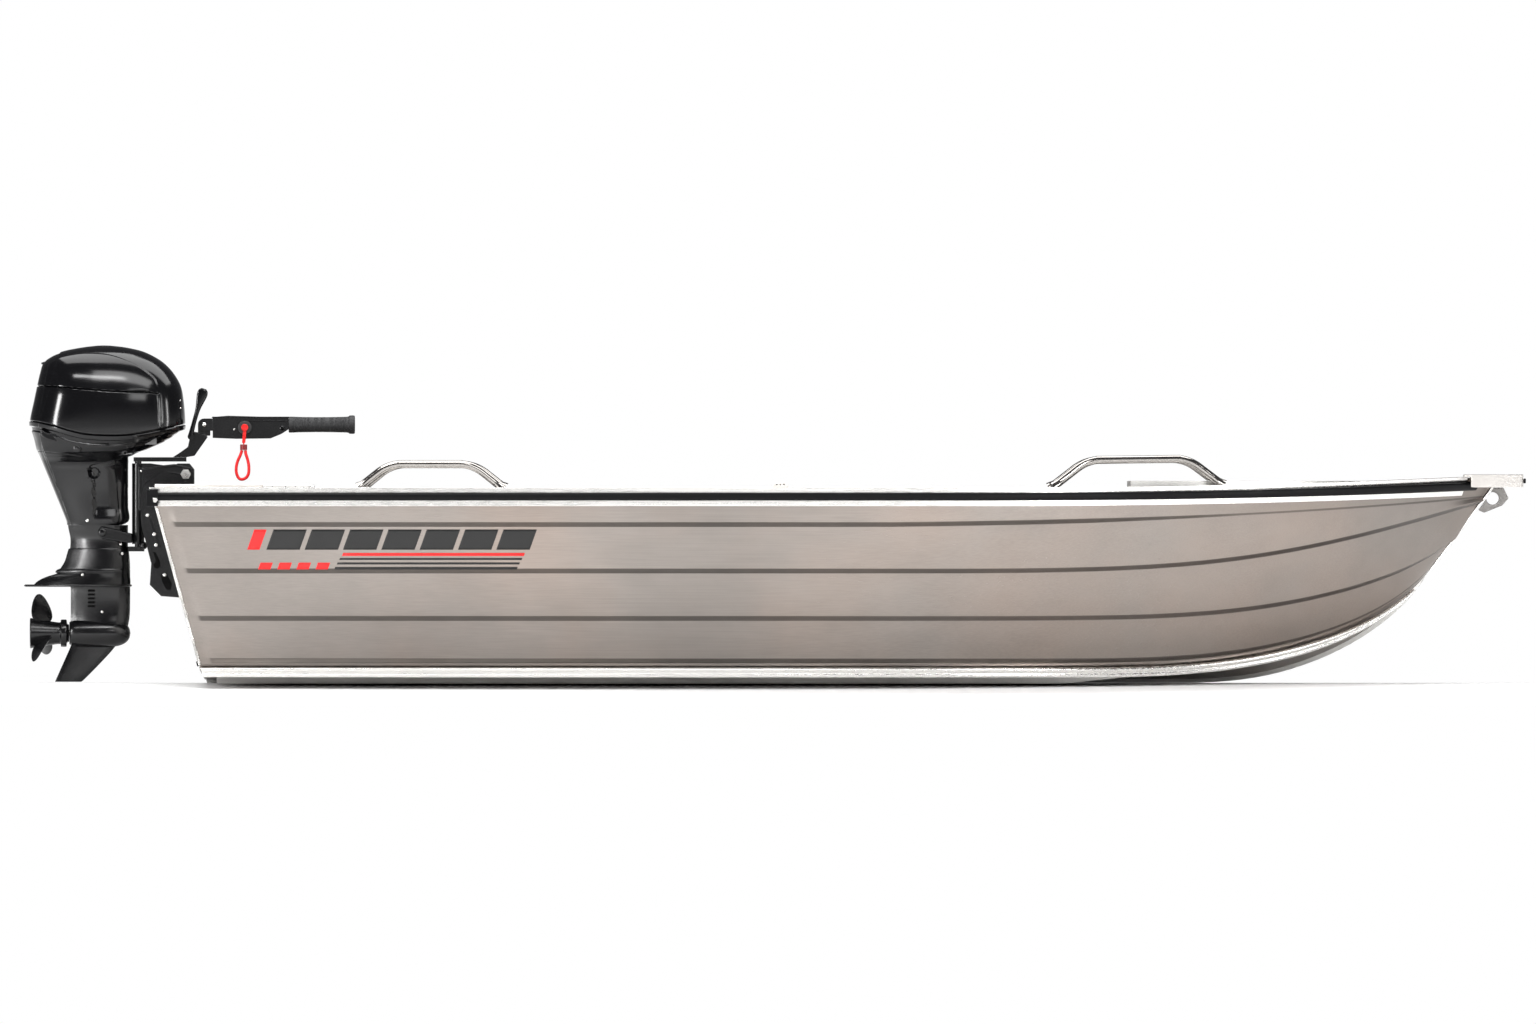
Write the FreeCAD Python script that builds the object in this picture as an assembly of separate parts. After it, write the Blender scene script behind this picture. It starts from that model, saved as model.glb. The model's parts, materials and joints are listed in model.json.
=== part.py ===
import FreeCAD, Part
import math
import os
from FreeCAD import Vector

# An open aluminium dinghy of pressed plate with a tiller-steered outboard motor.
# Millimetres. +X to the bow, +Y to port, +Z up. Z is zero at the ground under the keel.
# While it is built, X is zero at the aft edge of the transom's top.

# Hull form
hull_length = 4450.0
beam = 1780.0
sheer_height = 635.0
sheer_rise = 40.0
chine_height = 40.0
chine_rise = 335.0
chine_half_beam = 650.0
stem_reach = 300.0
stem_foot_x = hull_length - stem_reach
stem_half_width = 10.0
stem_slope = 0.75
transom_rake = 0.27
plate = 3.0
seat_gap = 0.3
skin_gap = 0.8
gunwale_gap = 1.4
search_steps = 40
run_step_share = 0.002
ground = 0.0

station_shares = (0, 0.1, 0.22, 0.35, 0.47, 0.58, 0.67, 0.74, 0.79, 0.84, 0.88, 0.92, 0.955, 0.98, 1)
sheer_widest_share = 0.42
sheer_narrowing_share = 0.1
sheer_fullness = 3.2
sheer_lift_share = 0.6
sheer_lift_power = 2.2
chine_widest_share = 0.38
chine_narrowing_share = 0.06
chine_fullness = 2.6
chine_lift_share = 0.7
chine_curve_share = 0.8
chine_curve_power = 3.0
chine_tip_power = 12
keel_lift_share = 0.79
keel_curve_share = 0.88
keel_curve_power = 2.5
keel_tip_power = 12

# Pressed strakes on the sides, lowest first, each by the share of the height of the side at which
# it runs amidships and at the bow, how late it climbs there, and where it fades into the plate
strake_step = 9.0
strake_height = 20.0
strake_shares = (0.067, 0.324, 0.611, 0.892)
strake_bow_shares = (0.1, 0.4, 0.9, 0.965)
strake_climb_start = 0.55
strake_climb_powers = (3.4, 3.4, 3.4, 1.2)
strake_fade_shares = ((0.8, 0.97), (1, 2), (1, 2), (0.7, 0.82))
faded_strake_share = 0.35

# Gunwale, rub rail and chine extrusions
gunwale_wall = 3.0
gunwale_web = 46.0
gunwale_lip = 24.0
gunwale_flange = 60.0
gunwale_end_share = 0.975
rail_height = 26.0
rail_depth = 16.0
rail_drop = 16.0
rail_end_share = 0.982
rail_section_shares = (
    (0, 0), (0.55, 0), (0.86, 0.13), (1, 0.34), (1, 0.66), (0.86, 0.87), (0.55, 1), (0, 1),
)
end_cap_length = 38.0
end_cap_wall = 5.0
end_cap_drop = 5.6
end_cap_back_share = 0.45
chine_bar_height = 32.0
chine_bar_depth = 13.0
chine_bar_gap = 3.0
chine_bar_shares = (
    (0, -1), (0.8, -1), (1, -0.8), (1, -0.35), (0.69, -0.15),
    (0.69, 0.15), (1, 0.35), (1, 0.8), (0.8, 1), (0, 1),
)
chine_bar_taper = 0.5
chine_bar_taper_start = 0.9

# Keel bar and bottom runners
keel_depth = 12.0
keel_half_width = 14.0
keel_foot_share = 0.8
keel_tip_share = 0.35
keel_tip_start = 0.955
keel_tip_gap = 1.4
runner_top_width = 46.0
runner_foot_width = 28.0
runner_places = (235.0, 445.0)
runner_station_shares = (0.012, 0.2, 0.4, 0.6, 0.7, 0.75)
runner_end_share = 0.45

# Transom
transom_plate = 4.0
cap_wall = 3.0
cap_depth = 26.0
pad_width = 420.0
pad_height = 330.0
pad_outer_thickness = 8.0
pad_inner_thickness = 30.0
pad_top_gap = 6.0
knee_thickness = 5.0
knee_length = 330.0
knee_height = 330.0
knee_top_share = 0.2
knee_tip_share = 0.12
knee_place = 250.0
drain_radius = 16.0
drain_head = 7.0
drain_nut_radius = 8.8
drain_place = 120.0
drain_height = 50.0

# Fittings along the gunwale
tube_sides = 10
round_sides = 16
nut_sides = 6
arc_step = 0.3
grab_tube_radius = 12.5
grab_bend = 62.0
grab_inset = 22.0
grab_foot_radius = 20.0
grab_foot_height = 7.0
aft_grab_x = (672.0, 1134.0)
aft_grab_shoulder = 96.0
aft_grab_height = 76.0
fore_grab_x = (2916.0, 3468.0)
fore_grab_shoulder = 118.0
fore_grab_height = 87.0
rowlock_x = 2034.0
rowlock_length = 51.0
rowlock_width = 40.0
rowlock_height = 19.0
rowlock_bore_radius = 6.6
rowlock_corner = 5.0

# Bow
bow_cap_length = 194.0
bow_cap_x = hull_length - bow_cap_length
bow_cap_rise = 43.0
bow_cap_top = sheer_height + bow_cap_rise
bow_cap_depth = 42.0
bow_cap_nose_radius = 34.0
bow_cap_overhang = 8.0
stem_bar_depth = 8.0
stem_bar_half_width = 13.0
bow_roller_length = 8.0
bow_roller_radius = 8.0
eye_thickness = 12.0
eye_length = 118.0
eye_hole_radius = 20.5
eye_root_share = 0.62
eye_hole_shares = (0.68, 0.52)
eye_reach = 74.0
eye_outline_shares = ((0, 1), (0.42, 1), (1, 0.52), (0.95, 0.2), (0.4, -0.12), (0.06, 0))

# Inside
thwart_height = 395.0
thwart_width = 300.0
thwart_wall = 3.0
aft_thwart_x = 720.0
mid_thwart_x = 2300.0
rib_width = 42.0
rib_height = 24.0
rib_reach_share = 0.9
rib_places = (560.0, 1250.0, 1600.0, 1950.0, 2800.0)
deck_x = 3167.0
deck_end_gap = 20.0
deck_end_x = bow_cap_x - deck_end_gap
deck_rise = 22.0
deck_top = sheer_height + deck_rise
deck_wall = 3.0
deck_skirt = 60.0
deck_gap = 4.0
deck_spans = 10
quarter_length = 300.0
quarter_width = 240.0
quarter_height = 10.0
quarter_x = 58.0
quarter_aft_x = 11.6
quarter_tip_width = 36.8
side_box_x = 360.0
side_box_length = 154.0
side_box_width = 120.0
side_box_height = 46.0

# Outboard: clamp brackets and tilt tube. The motor's heights are for a transom this high.
stand_height = 635.0
lift = sheer_height - stand_height
tilt_x = 103.0
tilt_z = 679.0
tilt_tube_radius = 11.0
tilt_tube_length = 226.0
tilt_nut_radius = 17.0
tilt_nut_width = 11.0
clamp_inner = 66.0
clamp_thickness = 24.0
clamp_foot_z = 278.0
clamp_lug_outline = ((26.0, -31.2), (26.0, 15.6), (10.4, 34.7), (-26.0, 34.7))
clamp_shoulder_outline = ((27.6, 43.7), (-16.1, 10.4), (-32.2, -32.2), (-27.6, -119.6))
clamp_foot_outline = ((-92.0, 110.4), (-96.6, 41.4), (-59.8, 4.6))
clamp_jaw_depth = 26.0
clamp_jaw_bottom = 545.0
clamp_screw_radius = 7.0
clamp_screw_z = 578.0
clamp_pad_radius = 22.0
clamp_pad_thickness = 7.0
clamp_handle_length = 92.0
clamp_handle_radius = 5.0
clamp_handle_inset = 8.0
clamp_screw_reach = 74.0
running_gap = 0.05

# Outboard: swivel bracket
swivel_x = -53.0
swivel_tube_radius = 20.0
swivel_top = 714.0
swivel_bottom = 452.0
pivot_pin_radius = 11.0
swivel_barrel_radius = 19.0
swivel_arm_thickness = 15.0
swivel_web_thickness = 16.0
swivel_web_reach = 14.0
swivel_web_front = 34.0
swivel_knee = 32.0
swivel_head = 40.0
swivel_rib_top = 30.0
swivel_rib_foot = 26.0
clear_of_transom = 10.0

# Outboard: powerhead cover and leg
hood_front_x = 100.2
hood_length = 508.7
hood_rear_x = hood_front_x - hood_length
hood_base_z = 800.0
hood_height = 297.0
hood_half_width = 165.0
hood_wall = 4.0
cowl_base_z = 514.0
cowl_height = 339.0
parting_gap = 1.0
hood_section_shares = (
    (0.0, 0.0, 0.994, 0.98),
    (0.178, 0.001, 1.0, 1.0),
    (0.397, 0.027, 0.99, 0.985),
    (0.559, 0.047, 0.971, 0.93),
    (0.7, 0.066, 0.924, 0.84),
    (0.81, 0.088, 0.863, 0.72),
    (0.886, 0.142, 0.794, 0.58),
    (0.941, 0.225, 0.72, 0.43),
    (0.981, 0.346, 0.616, 0.25),
    (1.0, 0.44, 0.52, 0.08),
)
cowl_section_shares = (
    (1.0, 0.99, 0.984, 0.99),
    (0.91, 0.96, 0.959, 0.97),
    (0.82, 0.889, 0.7, 0.91),
    (0.72, 0.824, 0.29, 0.8),
    (0.66, 0.747, 0.07, 0.64),
    (0.6, 0.679, 0.05, 0.47),
    (0.524, 0.597, 0.046, 0.43),
    (0.333, 0.386, 0.044, 0.38),
    (0.056, 0.086, 0.027, 0.34),
    (0.0, 0.05, -0.112, 0.32),
)
parting_shares = (
    (-0.1, 0.18), (0.0, 0.172), (0.079, 0.155), (0.17, 0.118), (0.27, 0.068), (0.371, 0.032), (0.5, 0.018),
    (0.625, 0.022), (0.74, 0.045), (0.8475, 0.08), (0.95, 0.12), (1.1, 0.17),
)
section_squareness = 0.72
section_sides = 20
powerhead_shares = (0.63, 0.33, 0.64)
powerhead_start_share = 0.19
powerhead_drop = 25.0

# Outboard: neck, gearcase, skeg
lens_shares = (
    (0, 0.12), (0.12, 0.38), (0.3, 0.7), (0.55, 0.97), (0.75, 0.95), (0.88, 0.78), (0.96, 0.45), (1, 0),
)
neck_bottom_z = 372.0
neck_rear_x = -281.0
neck_front_x = -86.0
neck_half_width = 50.0
neck_section_shares = ((0, 0.0, 1.0), (0.4, 0.05, 0.82), (0.75, 0.02, 0.86), (1, -0.02, 1.0))
plate_rear_x = -423.0
plate_front_x = -73.0
plate_z = 313.0
plate_thickness = 8.0
plate_half_width = 95.0
strut_rear_x = -272.0
strut_front_x = -79.0
strut_half_widths = (33.75, 27.0, 32.4)
gear_shoulder_rise = 20.0
gear_top_sections = ((-308.6, 52.5), (-377.0, 52.5), (-390.8, 55.0))
shaft_z = 162.0
torpedo_radius = 46.0
torpedo_rear_x = -276.0
torpedo_nose_x = -78.0
torpedo_shares = ((0, 0.78), (0.15, 0.96), (0.45, 1), (0.75, 0.92), (0.9, 0.7), (0.97, 0.42), (1, 0.1))
turned_sides = 20
skeg_bottom = 4.0
skeg_thickness = 9.0
skeg_front_drop = 41.4
skeg_foot_x = (-325.0, -240.0)
skeg_root_x = (-272.0, -126.0)

# Propeller
propeller_rear_x = -404.0
propeller_front_x = -306.0
hub_outline = ((0, 51.0), (0.2, 42.0), (0.6, 42.8), (1, 38.6))
hub_mouth_radius = 33.6
hub_mouth_depth = 34.0
propeller_tip_radius = 125.0
propeller_blades = 3
blade_thickness = 7.0
blade_width = 78.0
blade_pitch = 64.0
blade_rake_share = 0.08
blade_section_shares = ((-1, 0), (-0.5, 0.8), (0.4, 1), (1, 0), (0.4, -1), (-0.5, -0.8))
blade_start = 12.0
blade_shares = ((0.25, 0.62, 1.0), (0.5, 0.9, 0.75), (0.75, 1.0, 0.5), (0.93, 0.72, 0.35), (1.0, 0.3, 0.3))
shaft_radius = 11.0
spacer_radius = 30.0

# Steering arm, tiller bracket, shift lever
steer_arm_z = 720.0
steer_arm_thickness = 14.0
steer_arm_width = 60.0
steer_arm_front_x = 104.0
steer_arm_back = 14.3
yoke_z = 428.0
yoke_thickness = 16.0
tiller_pivot_x = 161.6
tiller_pivot_z = 840.0
tiller_pin_radius = 7.0
tiller_boss_radius = 20.0
tiller_tongue = 26.0
tiller_cheek = 8.0
bracket_width = 44.0
tongue_drop = 36.0
boss_clear_radius = 26.0
bracket_foot_outline = ((26.4, 4.4), (0, 0), (-44.0, 0), (-26.4, 11.0), (4.8, 33.0))
bracket_head_outline = ((-44.0, -32.0), (-44.0, -20.0), (0, -30.0), (12.0, -40.0))
lever_place = 38.0
lever_thickness = 10.0
lever_foot = (119.0, 801.0)
lever_top = (160.0, 950.0)
lever_foot_radius = 11.0
lever_boss_radius = 8.8
lever_neck = 7.7
lever_top_radius = 19.0

# Tiller
arm_rear_outline = ((0, 796.8), (0, 865.0), (50.0, 869.0))
arm_fore_outline = ((0, 23.4), (0, -15.6), (-25.0, -31.2))
arm_belly_outline = ((187.5, 795.0), (75.0, 793.8))
arm_half_width = 22.0
cheek_length = 28.0
grip_x = 436.0
grip_length = 203.0
grip_radius = 26.0
grip_flange_radius = 30.0
grip_flange = 13.0
grip_z = 840.0
switch_x = 294.0
switch_z = 830.6
switch_radius = 22.0
switch_reach = 14.0
button_radius = 11.5
button_reach = 8.0
clip_width = 11.0
clip_height = 38.0
clip_thickness = 4.0
clip_neck_width = 5.0
crimp_radius = 11.5
crimp_length = 18.0
crimp_drop = 55.0
crimp_x = 290.5

# Lanyard: a limp cord in a hanging loop, its route's points chosen by hand
lanyard_radius = 5.0
cord_sides = 8
arc_run_share = 0.45
lanyard_route = (
    (285.0, -45.0, 757.0), (281.5, -45.0, 743.0), (272.5, -45.0, 726.0), (266.5, -45.0, 706.0),
    (266.0, -45.0, 686.0), (270.5, -45.0, 672.0), (276.5, -45.3, 663.5), (285.5, -45.8, 661.5),
    (295.0, -46.2, 664.5), (302.5, -46.5, 671.0), (307.0, -46.5, 682.0), (308.0, -46.5, 697.0),
    (306.5, -46.0, 715.0), (301.0, -45.5, 735.0), (296.5, -45.0, 747.0), (296.0, -45.0, 757.0),
)

rear_end_x = plate_rear_x
front_end_x = hull_length + bow_roller_length
origin_x = (rear_end_x + front_end_x) / 2
rake_length = math.sqrt(1 + transom_rake * transom_rake)


def transom_x(z):
    """The raked plane in which the hull's aft edges lie."""
    return transom_rake * (sheer_height - z)


def stem_x(z):
    """The raked plane in which the side plates meet the stem."""
    return stem_foot_x + stem_slope * (z - chine_height - chine_rise)


def plan_share(s, widest, narrowing, fullness):
    """Half-beam at share s of the length, as a share of the widest half-beam."""
    if s < widest:
        return 1 - narrowing * ((widest - s) / widest) ** 2
    return 1 - ((s - widest) / (1 - widest)) ** fullness


def lifted(s, start, power):
    """Zero up to the start, then a power curve that reaches one at the stem."""
    return (max(0, s - start) / (1 - start)) ** power


def sheer_point(s, drop=0):
    """A point of the sheer line, or of a line that runs a drop below it."""
    outer = beam / 2 - rail_depth - skin_gap - gunwale_wall - gunwale_gap
    share = plan_share(s, sheer_widest_share, sheer_narrowing_share, sheer_fullness)
    y = stem_half_width + (outer - stem_half_width) * share
    z = sheer_height - drop + sheer_rise * lifted(s, sheer_lift_share, sheer_lift_power)
    aft = transom_x(sheer_height - drop)
    fore = stem_x(sheer_height - drop + sheer_rise)
    return Vector(aft + s * (fore - aft), y, z)


def chine_point(s):
    """A point of the chine, where the side plate meets the bottom plate."""
    share = plan_share(s, chine_widest_share, chine_narrowing_share, chine_fullness)
    y = stem_half_width + (chine_half_beam - stem_half_width) * share
    r = lifted(s, chine_lift_share, 1)
    z = chine_curve_share * r ** chine_curve_power + (1 - chine_curve_share) * r ** chine_tip_power
    z = chine_height + chine_rise * z
    aft = transom_x(chine_height)
    return Vector(aft + s * (stem_foot_x - aft), y, z)


def keel_profile(s, depth):
    """A point of the keel's curve, a depth inside its lower edge."""
    top = chine_height + chine_rise - keel_depth / 2
    r = max(0, s - keel_lift_share) / (1 - keel_lift_share)
    z = top * (keel_curve_share * r ** keel_curve_power + (1 - keel_curve_share) * r ** keel_tip_power)
    slope = keel_curve_share * keel_curve_power * r ** (keel_curve_power - 1)
    slope += (1 - keel_curve_share) * keel_tip_power * r ** (keel_tip_power - 1)
    aft = transom_x(ground)
    length = stem_foot_x - aft
    slope = slope * top / ((1 - keel_lift_share) * length)
    steep = math.sqrt(1 + slope * slope)
    x = aft + s * length - depth * slope / steep
    return Vector(x, 0, z + depth / steep)


def crease_point(s):
    """A point of the bottom plate's centre crease, on top of the keel bar."""
    point = keel_profile(s, keel_depth)
    if s == 0:
        point.x = transom_x(point.z)
    if s == 1:
        point.z = chine_height + chine_rise - keel_depth
        point.x = stem_x(point.z)
    return point


def unit(vector):
    return vector.normalize()


def normal_between(line, next_line, i):
    """Normal of the strip between two lines at station i."""
    before = max(0, i - 1)
    after = min(len(line) - 1, i + 1)
    along = line[after] - line[before]
    across = next_line[i] - line[i]
    return unit(across.cross(along))


def inset(lines, depth):
    """The lines moved square to the strips that meet in them, by a depth."""
    moved = []
    for k, line in enumerate(lines):
        row = []
        for i, point in enumerate(line):
            first = max(0, k - 1)
            last = min(len(lines) - 2, k)
            one = normal_between(lines[first], lines[first + 1], i)
            two = normal_between(lines[last], lines[last + 1], i)
            row.append(point + (one + two) * (depth / (1 + one.dot(two))))
        moved.append(row)
    return moved


def to_ends(lines):
    """The lines with their first and last points put back on the transom and stem planes."""
    for line in lines:
        line[0].x = transom_x(line[0].z)
        line[-1].x = stem_x(line[-1].z)
    return lines


def loft(rings, straight=False):
    """A solid through closed rings of points, smooth or straight along, and straight across."""
    wires = [Part.makePolygon(list(ring) + [ring[0]]) for ring in rings]
    solid = Part.makeLoft(wires, True, straight)
    return solid if solid.Volume > 0 else solid.reversed()


def stack(lines):
    """Rings of points, one for each station, from lines of points."""
    return [list(ring) for ring in zip(*lines)]


def prism(points, depth):
    """A flat outline carried along a vector."""
    return Part.Face(Part.makePolygon(list(points) + [points[0]])).extrude(depth)


def box(x0, x1, y0, y1, z0, z1):
    return Part.makeBox(x1 - x0, y1 - y0, z1 - z0, Vector(x0, y0, z0))


def cylinder(radius, start, end):
    axis = end - start
    return Part.makeCylinder(radius, axis.Length, start, axis)


def tube_ring(radius, centre, axis, sides):
    """A ring of points round an axis, on the circle of a many-sided rod."""
    side = unit(axis.cross(Vector(0, 0, 1)) + axis.cross(Vector(0, 1, 0)))
    up = unit(axis.cross(side))
    ring = []
    for i in range(sides):
        turn = 2 * math.pi * i / sides
        ring.append(centre + side * (radius * math.cos(turn)) + up * (radius * math.sin(turn)))
    return ring


def rod(radius, start, end, sides):
    """A many-sided rod; pins and bores that turn are true cylinders instead."""
    return prism(tube_ring(radius, start, end - start, sides), end - start)


def bore_for(radius, start, end):
    """A many-sided bore whose flats clear a pin or tube of a radius by the seat gap."""
    return rod((radius + seat_gap) / math.cos(math.pi / round_sides), start, end, round_sides)


def tube_along(centres, radius, sides):
    """A many-sided tube through a line of points, with a mitre at each."""
    runs = [unit(after - before) for before, after in zip(centres, centres[1:])]
    ring = tube_ring(radius, centres[0], runs[0], sides)
    rings = [ring]
    for i in range(1, len(centres)):
        run = runs[i - 1]
        plane = run + runs[min(i, len(runs) - 1)]
        ring = [p + run * ((centres[i] - p).dot(plane) / run.dot(plane)) for p in ring]
        rings.append(ring)
    return loft(rings, True)


def arc_points(before, corner, after, cut):
    """Points along the arc that rounds a corner, starting a cut away from it."""
    back = unit(before - corner)
    ahead = unit(after - corner)
    half = back.getAngle(ahead) / 2
    radius = cut * math.tan(half)
    centre = corner + unit(back + ahead) * (cut / math.cos(half))
    start = corner + back * cut - centre
    end = corner + ahead * cut - centre
    count = max(1, math.ceil((math.pi - 2 * half) / arc_step))
    points = []
    for i in range(count + 1):
        share = i / count
        points.append(centre + unit(start * (1 - share) + end * share) * radius)
    return points


def mirrored(shape):
    """The same piece on the starboard side."""
    return shape.mirror(Vector(0, 0, 0), Vector(0, 1, 0))


def mirrored_point(point):
    return Vector(point.x, -point.y, point.z)


def both_sides(shape):
    return Part.makeCompound([shape, mirrored(shape)])


def strake_share(k, s):
    """Height share of strake k at length share s: the strakes climb towards the bow."""
    climb = lifted(s, strake_climb_start, strake_climb_powers[k])
    return strake_shares[k] + (strake_bow_shares[k] - strake_shares[k]) * climb


def strake_depth_share(k, s):
    """One where strake k is at its full depth, and zero where it has faded into the plate."""
    start, end = strake_fade_shares[k]
    return 1 - min(1, max(0, s - start) / (end - start))


def side_lines():
    """Outer face of the port side plate: lines from the chine up to the sheer."""
    base = [chine_point(s) for s in station_shares]
    knuckle = [sheer_point(s, gunwale_flange) for s in station_shares]
    top = [sheer_point(s, gunwale_wall + gunwale_gap) for s in station_shares]
    foot = plate + skin_gap
    rows = [[low + unit(high - low) * foot for low, high in zip(base, knuckle)]]
    for k in range(len(strake_shares)):
        lower = []
        upper = []
        for i, s in enumerate(station_shares):
            rise = knuckle[i] - base[i]
            deep = strake_depth_share(k, s)
            half = strake_height / (2 * rise.Length) * (faded_strake_share + (1 - faded_strake_share) * deep)
            share = strake_share(k, s)
            out = normal_between(base, knuckle, i) * (strake_step * deep)
            lower.append(base[i] + rise * (share - half))
            upper.append(base[i] + rise * (share + half) + out)
        rows += [lower, upper]
    return to_ends(rows + [knuckle, top])


def side_plate():
    outer = side_lines()
    inner = to_ends(inset(outer, -plate))
    return loft(stack(outer + inner[::-1]))


def bottom_plate():
    chine = [chine_point(s) for s in station_shares]
    crease = [crease_point(s) for s in station_shares]
    far = [mirrored_point(p) for p in chine]
    outer = to_ends([chine, crease, far])
    inner = to_ends(inset(outer, plate))
    return loft(stack(outer + inner[::-1]))


def hull_room(clearance):
    """The free space inside the plates, up to the sheer, as one solid."""
    chine = [chine_point(s) for s in station_shares]
    crease = [crease_point(s) for s in station_shares]
    knuckle = [sheer_point(s, gunwale_flange) for s in station_shares]
    top = [sheer_point(s) for s in station_shares]
    port = [top, knuckle, chine, crease]
    star = [[mirrored_point(p) for p in line] for line in (chine, knuckle, top)]
    return loft(stack(to_ends(inset(port + star, plate + clearance))))


def end_flat(ring, centre, along):
    """A ring of points moved along the run of the hull into one flat section."""
    return [p - along * ((p - centre).dot(along) / along.dot(along)) for p in ring]


def sheer_frame(s):
    """The sheer point, its outward level normal, the knuckle point and the plate's normal."""
    top = sheer_point(s)
    knuckle = sheer_point(s, gunwale_flange)
    along = sheer_point(min(1, s + run_step_share)) - sheer_point(max(0, s - run_step_share))
    level = unit(Vector(-along.y, along.x, 0))
    face = unit((top - knuckle).cross(along))
    return top, level, knuckle, face, unit(along)


def along_sheer(section, end_share):
    """A loft along the sheer up to a share of its length; section gives the ring at a share."""
    shares = [s * end_share for s in station_shares]
    rings = []
    for s in shares:
        ring = section(s)
        if s == 0:
            ring = [Vector(transom_x(p.z), p.y, p.z) for p in ring]
        if s == shares[-1]:
            top, level, knuckle, face, run = sheer_frame(s)
            ring = end_flat(ring, top, run)
        rings.append(ring)
    return loft(rings)


def gunwale_ring(s):
    top, level, knuckle, face, run = sheer_frame(s)
    up = Vector(0, 0, 1)
    outer = gunwale_gap + gunwale_wall
    return [
        top + level * outer,
        knuckle + face * outer,
        knuckle + face * gunwale_gap,
        top + level * gunwale_gap - up * gunwale_wall,
        top - level * (gunwale_web - gunwale_wall) - up * gunwale_wall,
        top - level * (gunwale_web - gunwale_wall) - up * gunwale_lip,
        top - level * gunwale_web - up * gunwale_lip,
        top - level * gunwale_web,
    ]


def rail_ring(s):
    """D-shaped section that stands on the gunwale's outer flange."""
    top, level, knuckle, face, run = sheer_frame(s)
    foot = gunwale_gap + gunwale_wall + skin_gap
    low = (rail_drop + rail_height) / gunwale_flange
    high = rail_drop / gunwale_flange
    ring = []
    for out, down in rail_section_shares:
        share = high + (low - high) * down
        base = top + (knuckle - top) * share
        normal = unit(level * (1 - share) + face * share)
        ring.append(base + normal * (foot + rail_depth * out))
    return ring


def chine_bar():
    """Extrusion over the seam of side and bottom, with two ridges and a groove."""
    chine = [chine_point(s) for s in station_shares]
    knuckle = [sheer_point(s, gunwale_flange) for s in station_shares]
    section = [(chine_bar_depth * a, chine_bar_height * b / 2) for a, b in chine_bar_shares]
    rings = []
    for i, s in enumerate(station_shares):
        up = unit(knuckle[i] - chine[i])
        out = normal_between(chine, knuckle, i)
        taper = 1 - chine_bar_taper * lifted(s, chine_bar_taper_start, 1)
        rings.append([chine[i] + out * (chine_bar_gap + a * taper) + up * (b * taper) for a, b in section])
    return loft(rings[:-1])


def bottom_z(s, y):
    """Height of the bottom plate's outer face at a station, a distance off the centreline."""
    crease = crease_point(s)
    chine = chine_point(s)
    return crease.z + (chine.z - crease.z) * y / chine.y


def keel_bar():
    rings = []
    for s in station_shares:
        crease = crease_point(s)
        chine = chine_point(s)
        half = min(keel_half_width, chine.y * keel_tip_share)
        side = crease + (chine - crease) * (half / chine.y)
        low = keel_profile(s, 0)
        if s == 0:
            low.x = transom_x(low.z)
        if s == 1:
            low.z = crease.z - keel_depth * keel_foot_share
            low.x = stem_x(low.z)
        drop = unit(low - crease) * (seat_gap + keel_tip_gap * lifted(s, keel_tip_start, 1))
        ring = []
        for point, share in ((side, 1), (crease, 0)):
            ring.append(Vector(point.x, half * share, point.z) + drop)
        ring.append(Vector(side.x, -half, side.z) + drop)
        ring.append(Vector(low.x, -half * keel_foot_share, low.z))
        ring.append(Vector(low.x, half * keel_foot_share, low.z))
        rings.append(ring)
    for place in (0, -1):
        plane = transom_x if place == 0 else stem_x
        rings[place] = [Vector(plane(p.z), p.y, p.z) for p in rings[place]]
    below = box(0, hull_length, -beam, beam, -keel_depth, ground)
    return loft(rings).cut(below)


def bottom_runner(place):
    """A pressed planing runner under the bottom plate, down to the keel's level."""
    rings = []
    for s in runner_station_shares:
        x = chine_point(s).x
        inner = bottom_z(s, place - runner_top_width / 2) - skin_gap
        outer = bottom_z(s, place + runner_top_width / 2) - skin_gap
        foot = ground if s < runner_station_shares[-1] else inner * (1 - runner_end_share)
        rings.append([
            Vector(x, place - runner_top_width / 2, inner),
            Vector(x, place - runner_foot_width / 2, foot),
            Vector(x, place + runner_foot_width / 2, foot),
            Vector(x, place + runner_top_width / 2, outer),
        ])
    return loft(rings, True)


def transom_outline():
    """Outline of the hull's aft edges in the raked transom plane, port chine to starboard chine."""
    port = [line[0] for line in side_lines()]
    star = [mirrored_point(p) for p in port]
    return port + star[::-1] + [crease_point(0)]


def rake_shift(distance):
    """A shift square to the transom plane, positive aft."""
    return Vector(-distance / rake_length, 0, -distance * transom_rake / rake_length)


def transom():
    points = [p + rake_shift(seat_gap) for p in transom_outline()]
    return prism(points, rake_shift(transom_plate))


def transom_cap():
    """A folded channel over the transom's top edge, between the gunwales."""
    half = sheer_point(0).y - gunwale_web - seat_gap
    top = sheer_height
    aft = seat_gap * 2 + transom_plate + cap_wall
    fore = -(seat_gap + cap_wall)
    section = (
        (aft, cap_depth), (aft, 0), (fore, 0), (fore, cap_depth),
        (fore + cap_wall, cap_depth), (fore + cap_wall, cap_wall),
        (aft - cap_wall, cap_wall), (aft - cap_wall, cap_depth),
    )
    points = []
    for out, down in section:
        z = top - down
        points.append(Vector(transom_x(z) - out, -half, z))
    return prism(points, Vector(0, 2 * half, 0))


def transom_pads():
    """Timber and alloy pads that the motor's clamps bite on."""
    top = sheer_height - cap_depth - pad_top_gap
    half = pad_width / 2
    pads = []
    for start, depth in (
        (2 * seat_gap + transom_plate, pad_outer_thickness),
        (-seat_gap - pad_inner_thickness, pad_inner_thickness),
    ):
        face = []
        for z in (top, top - pad_height):
            for y in (-half, half) if z == top else (half, -half):
                face.append(Vector(transom_x(z), y, z) + rake_shift(start))
        pads.append(prism(face, rake_shift(depth)))
    return Part.makeCompound(pads)


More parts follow.
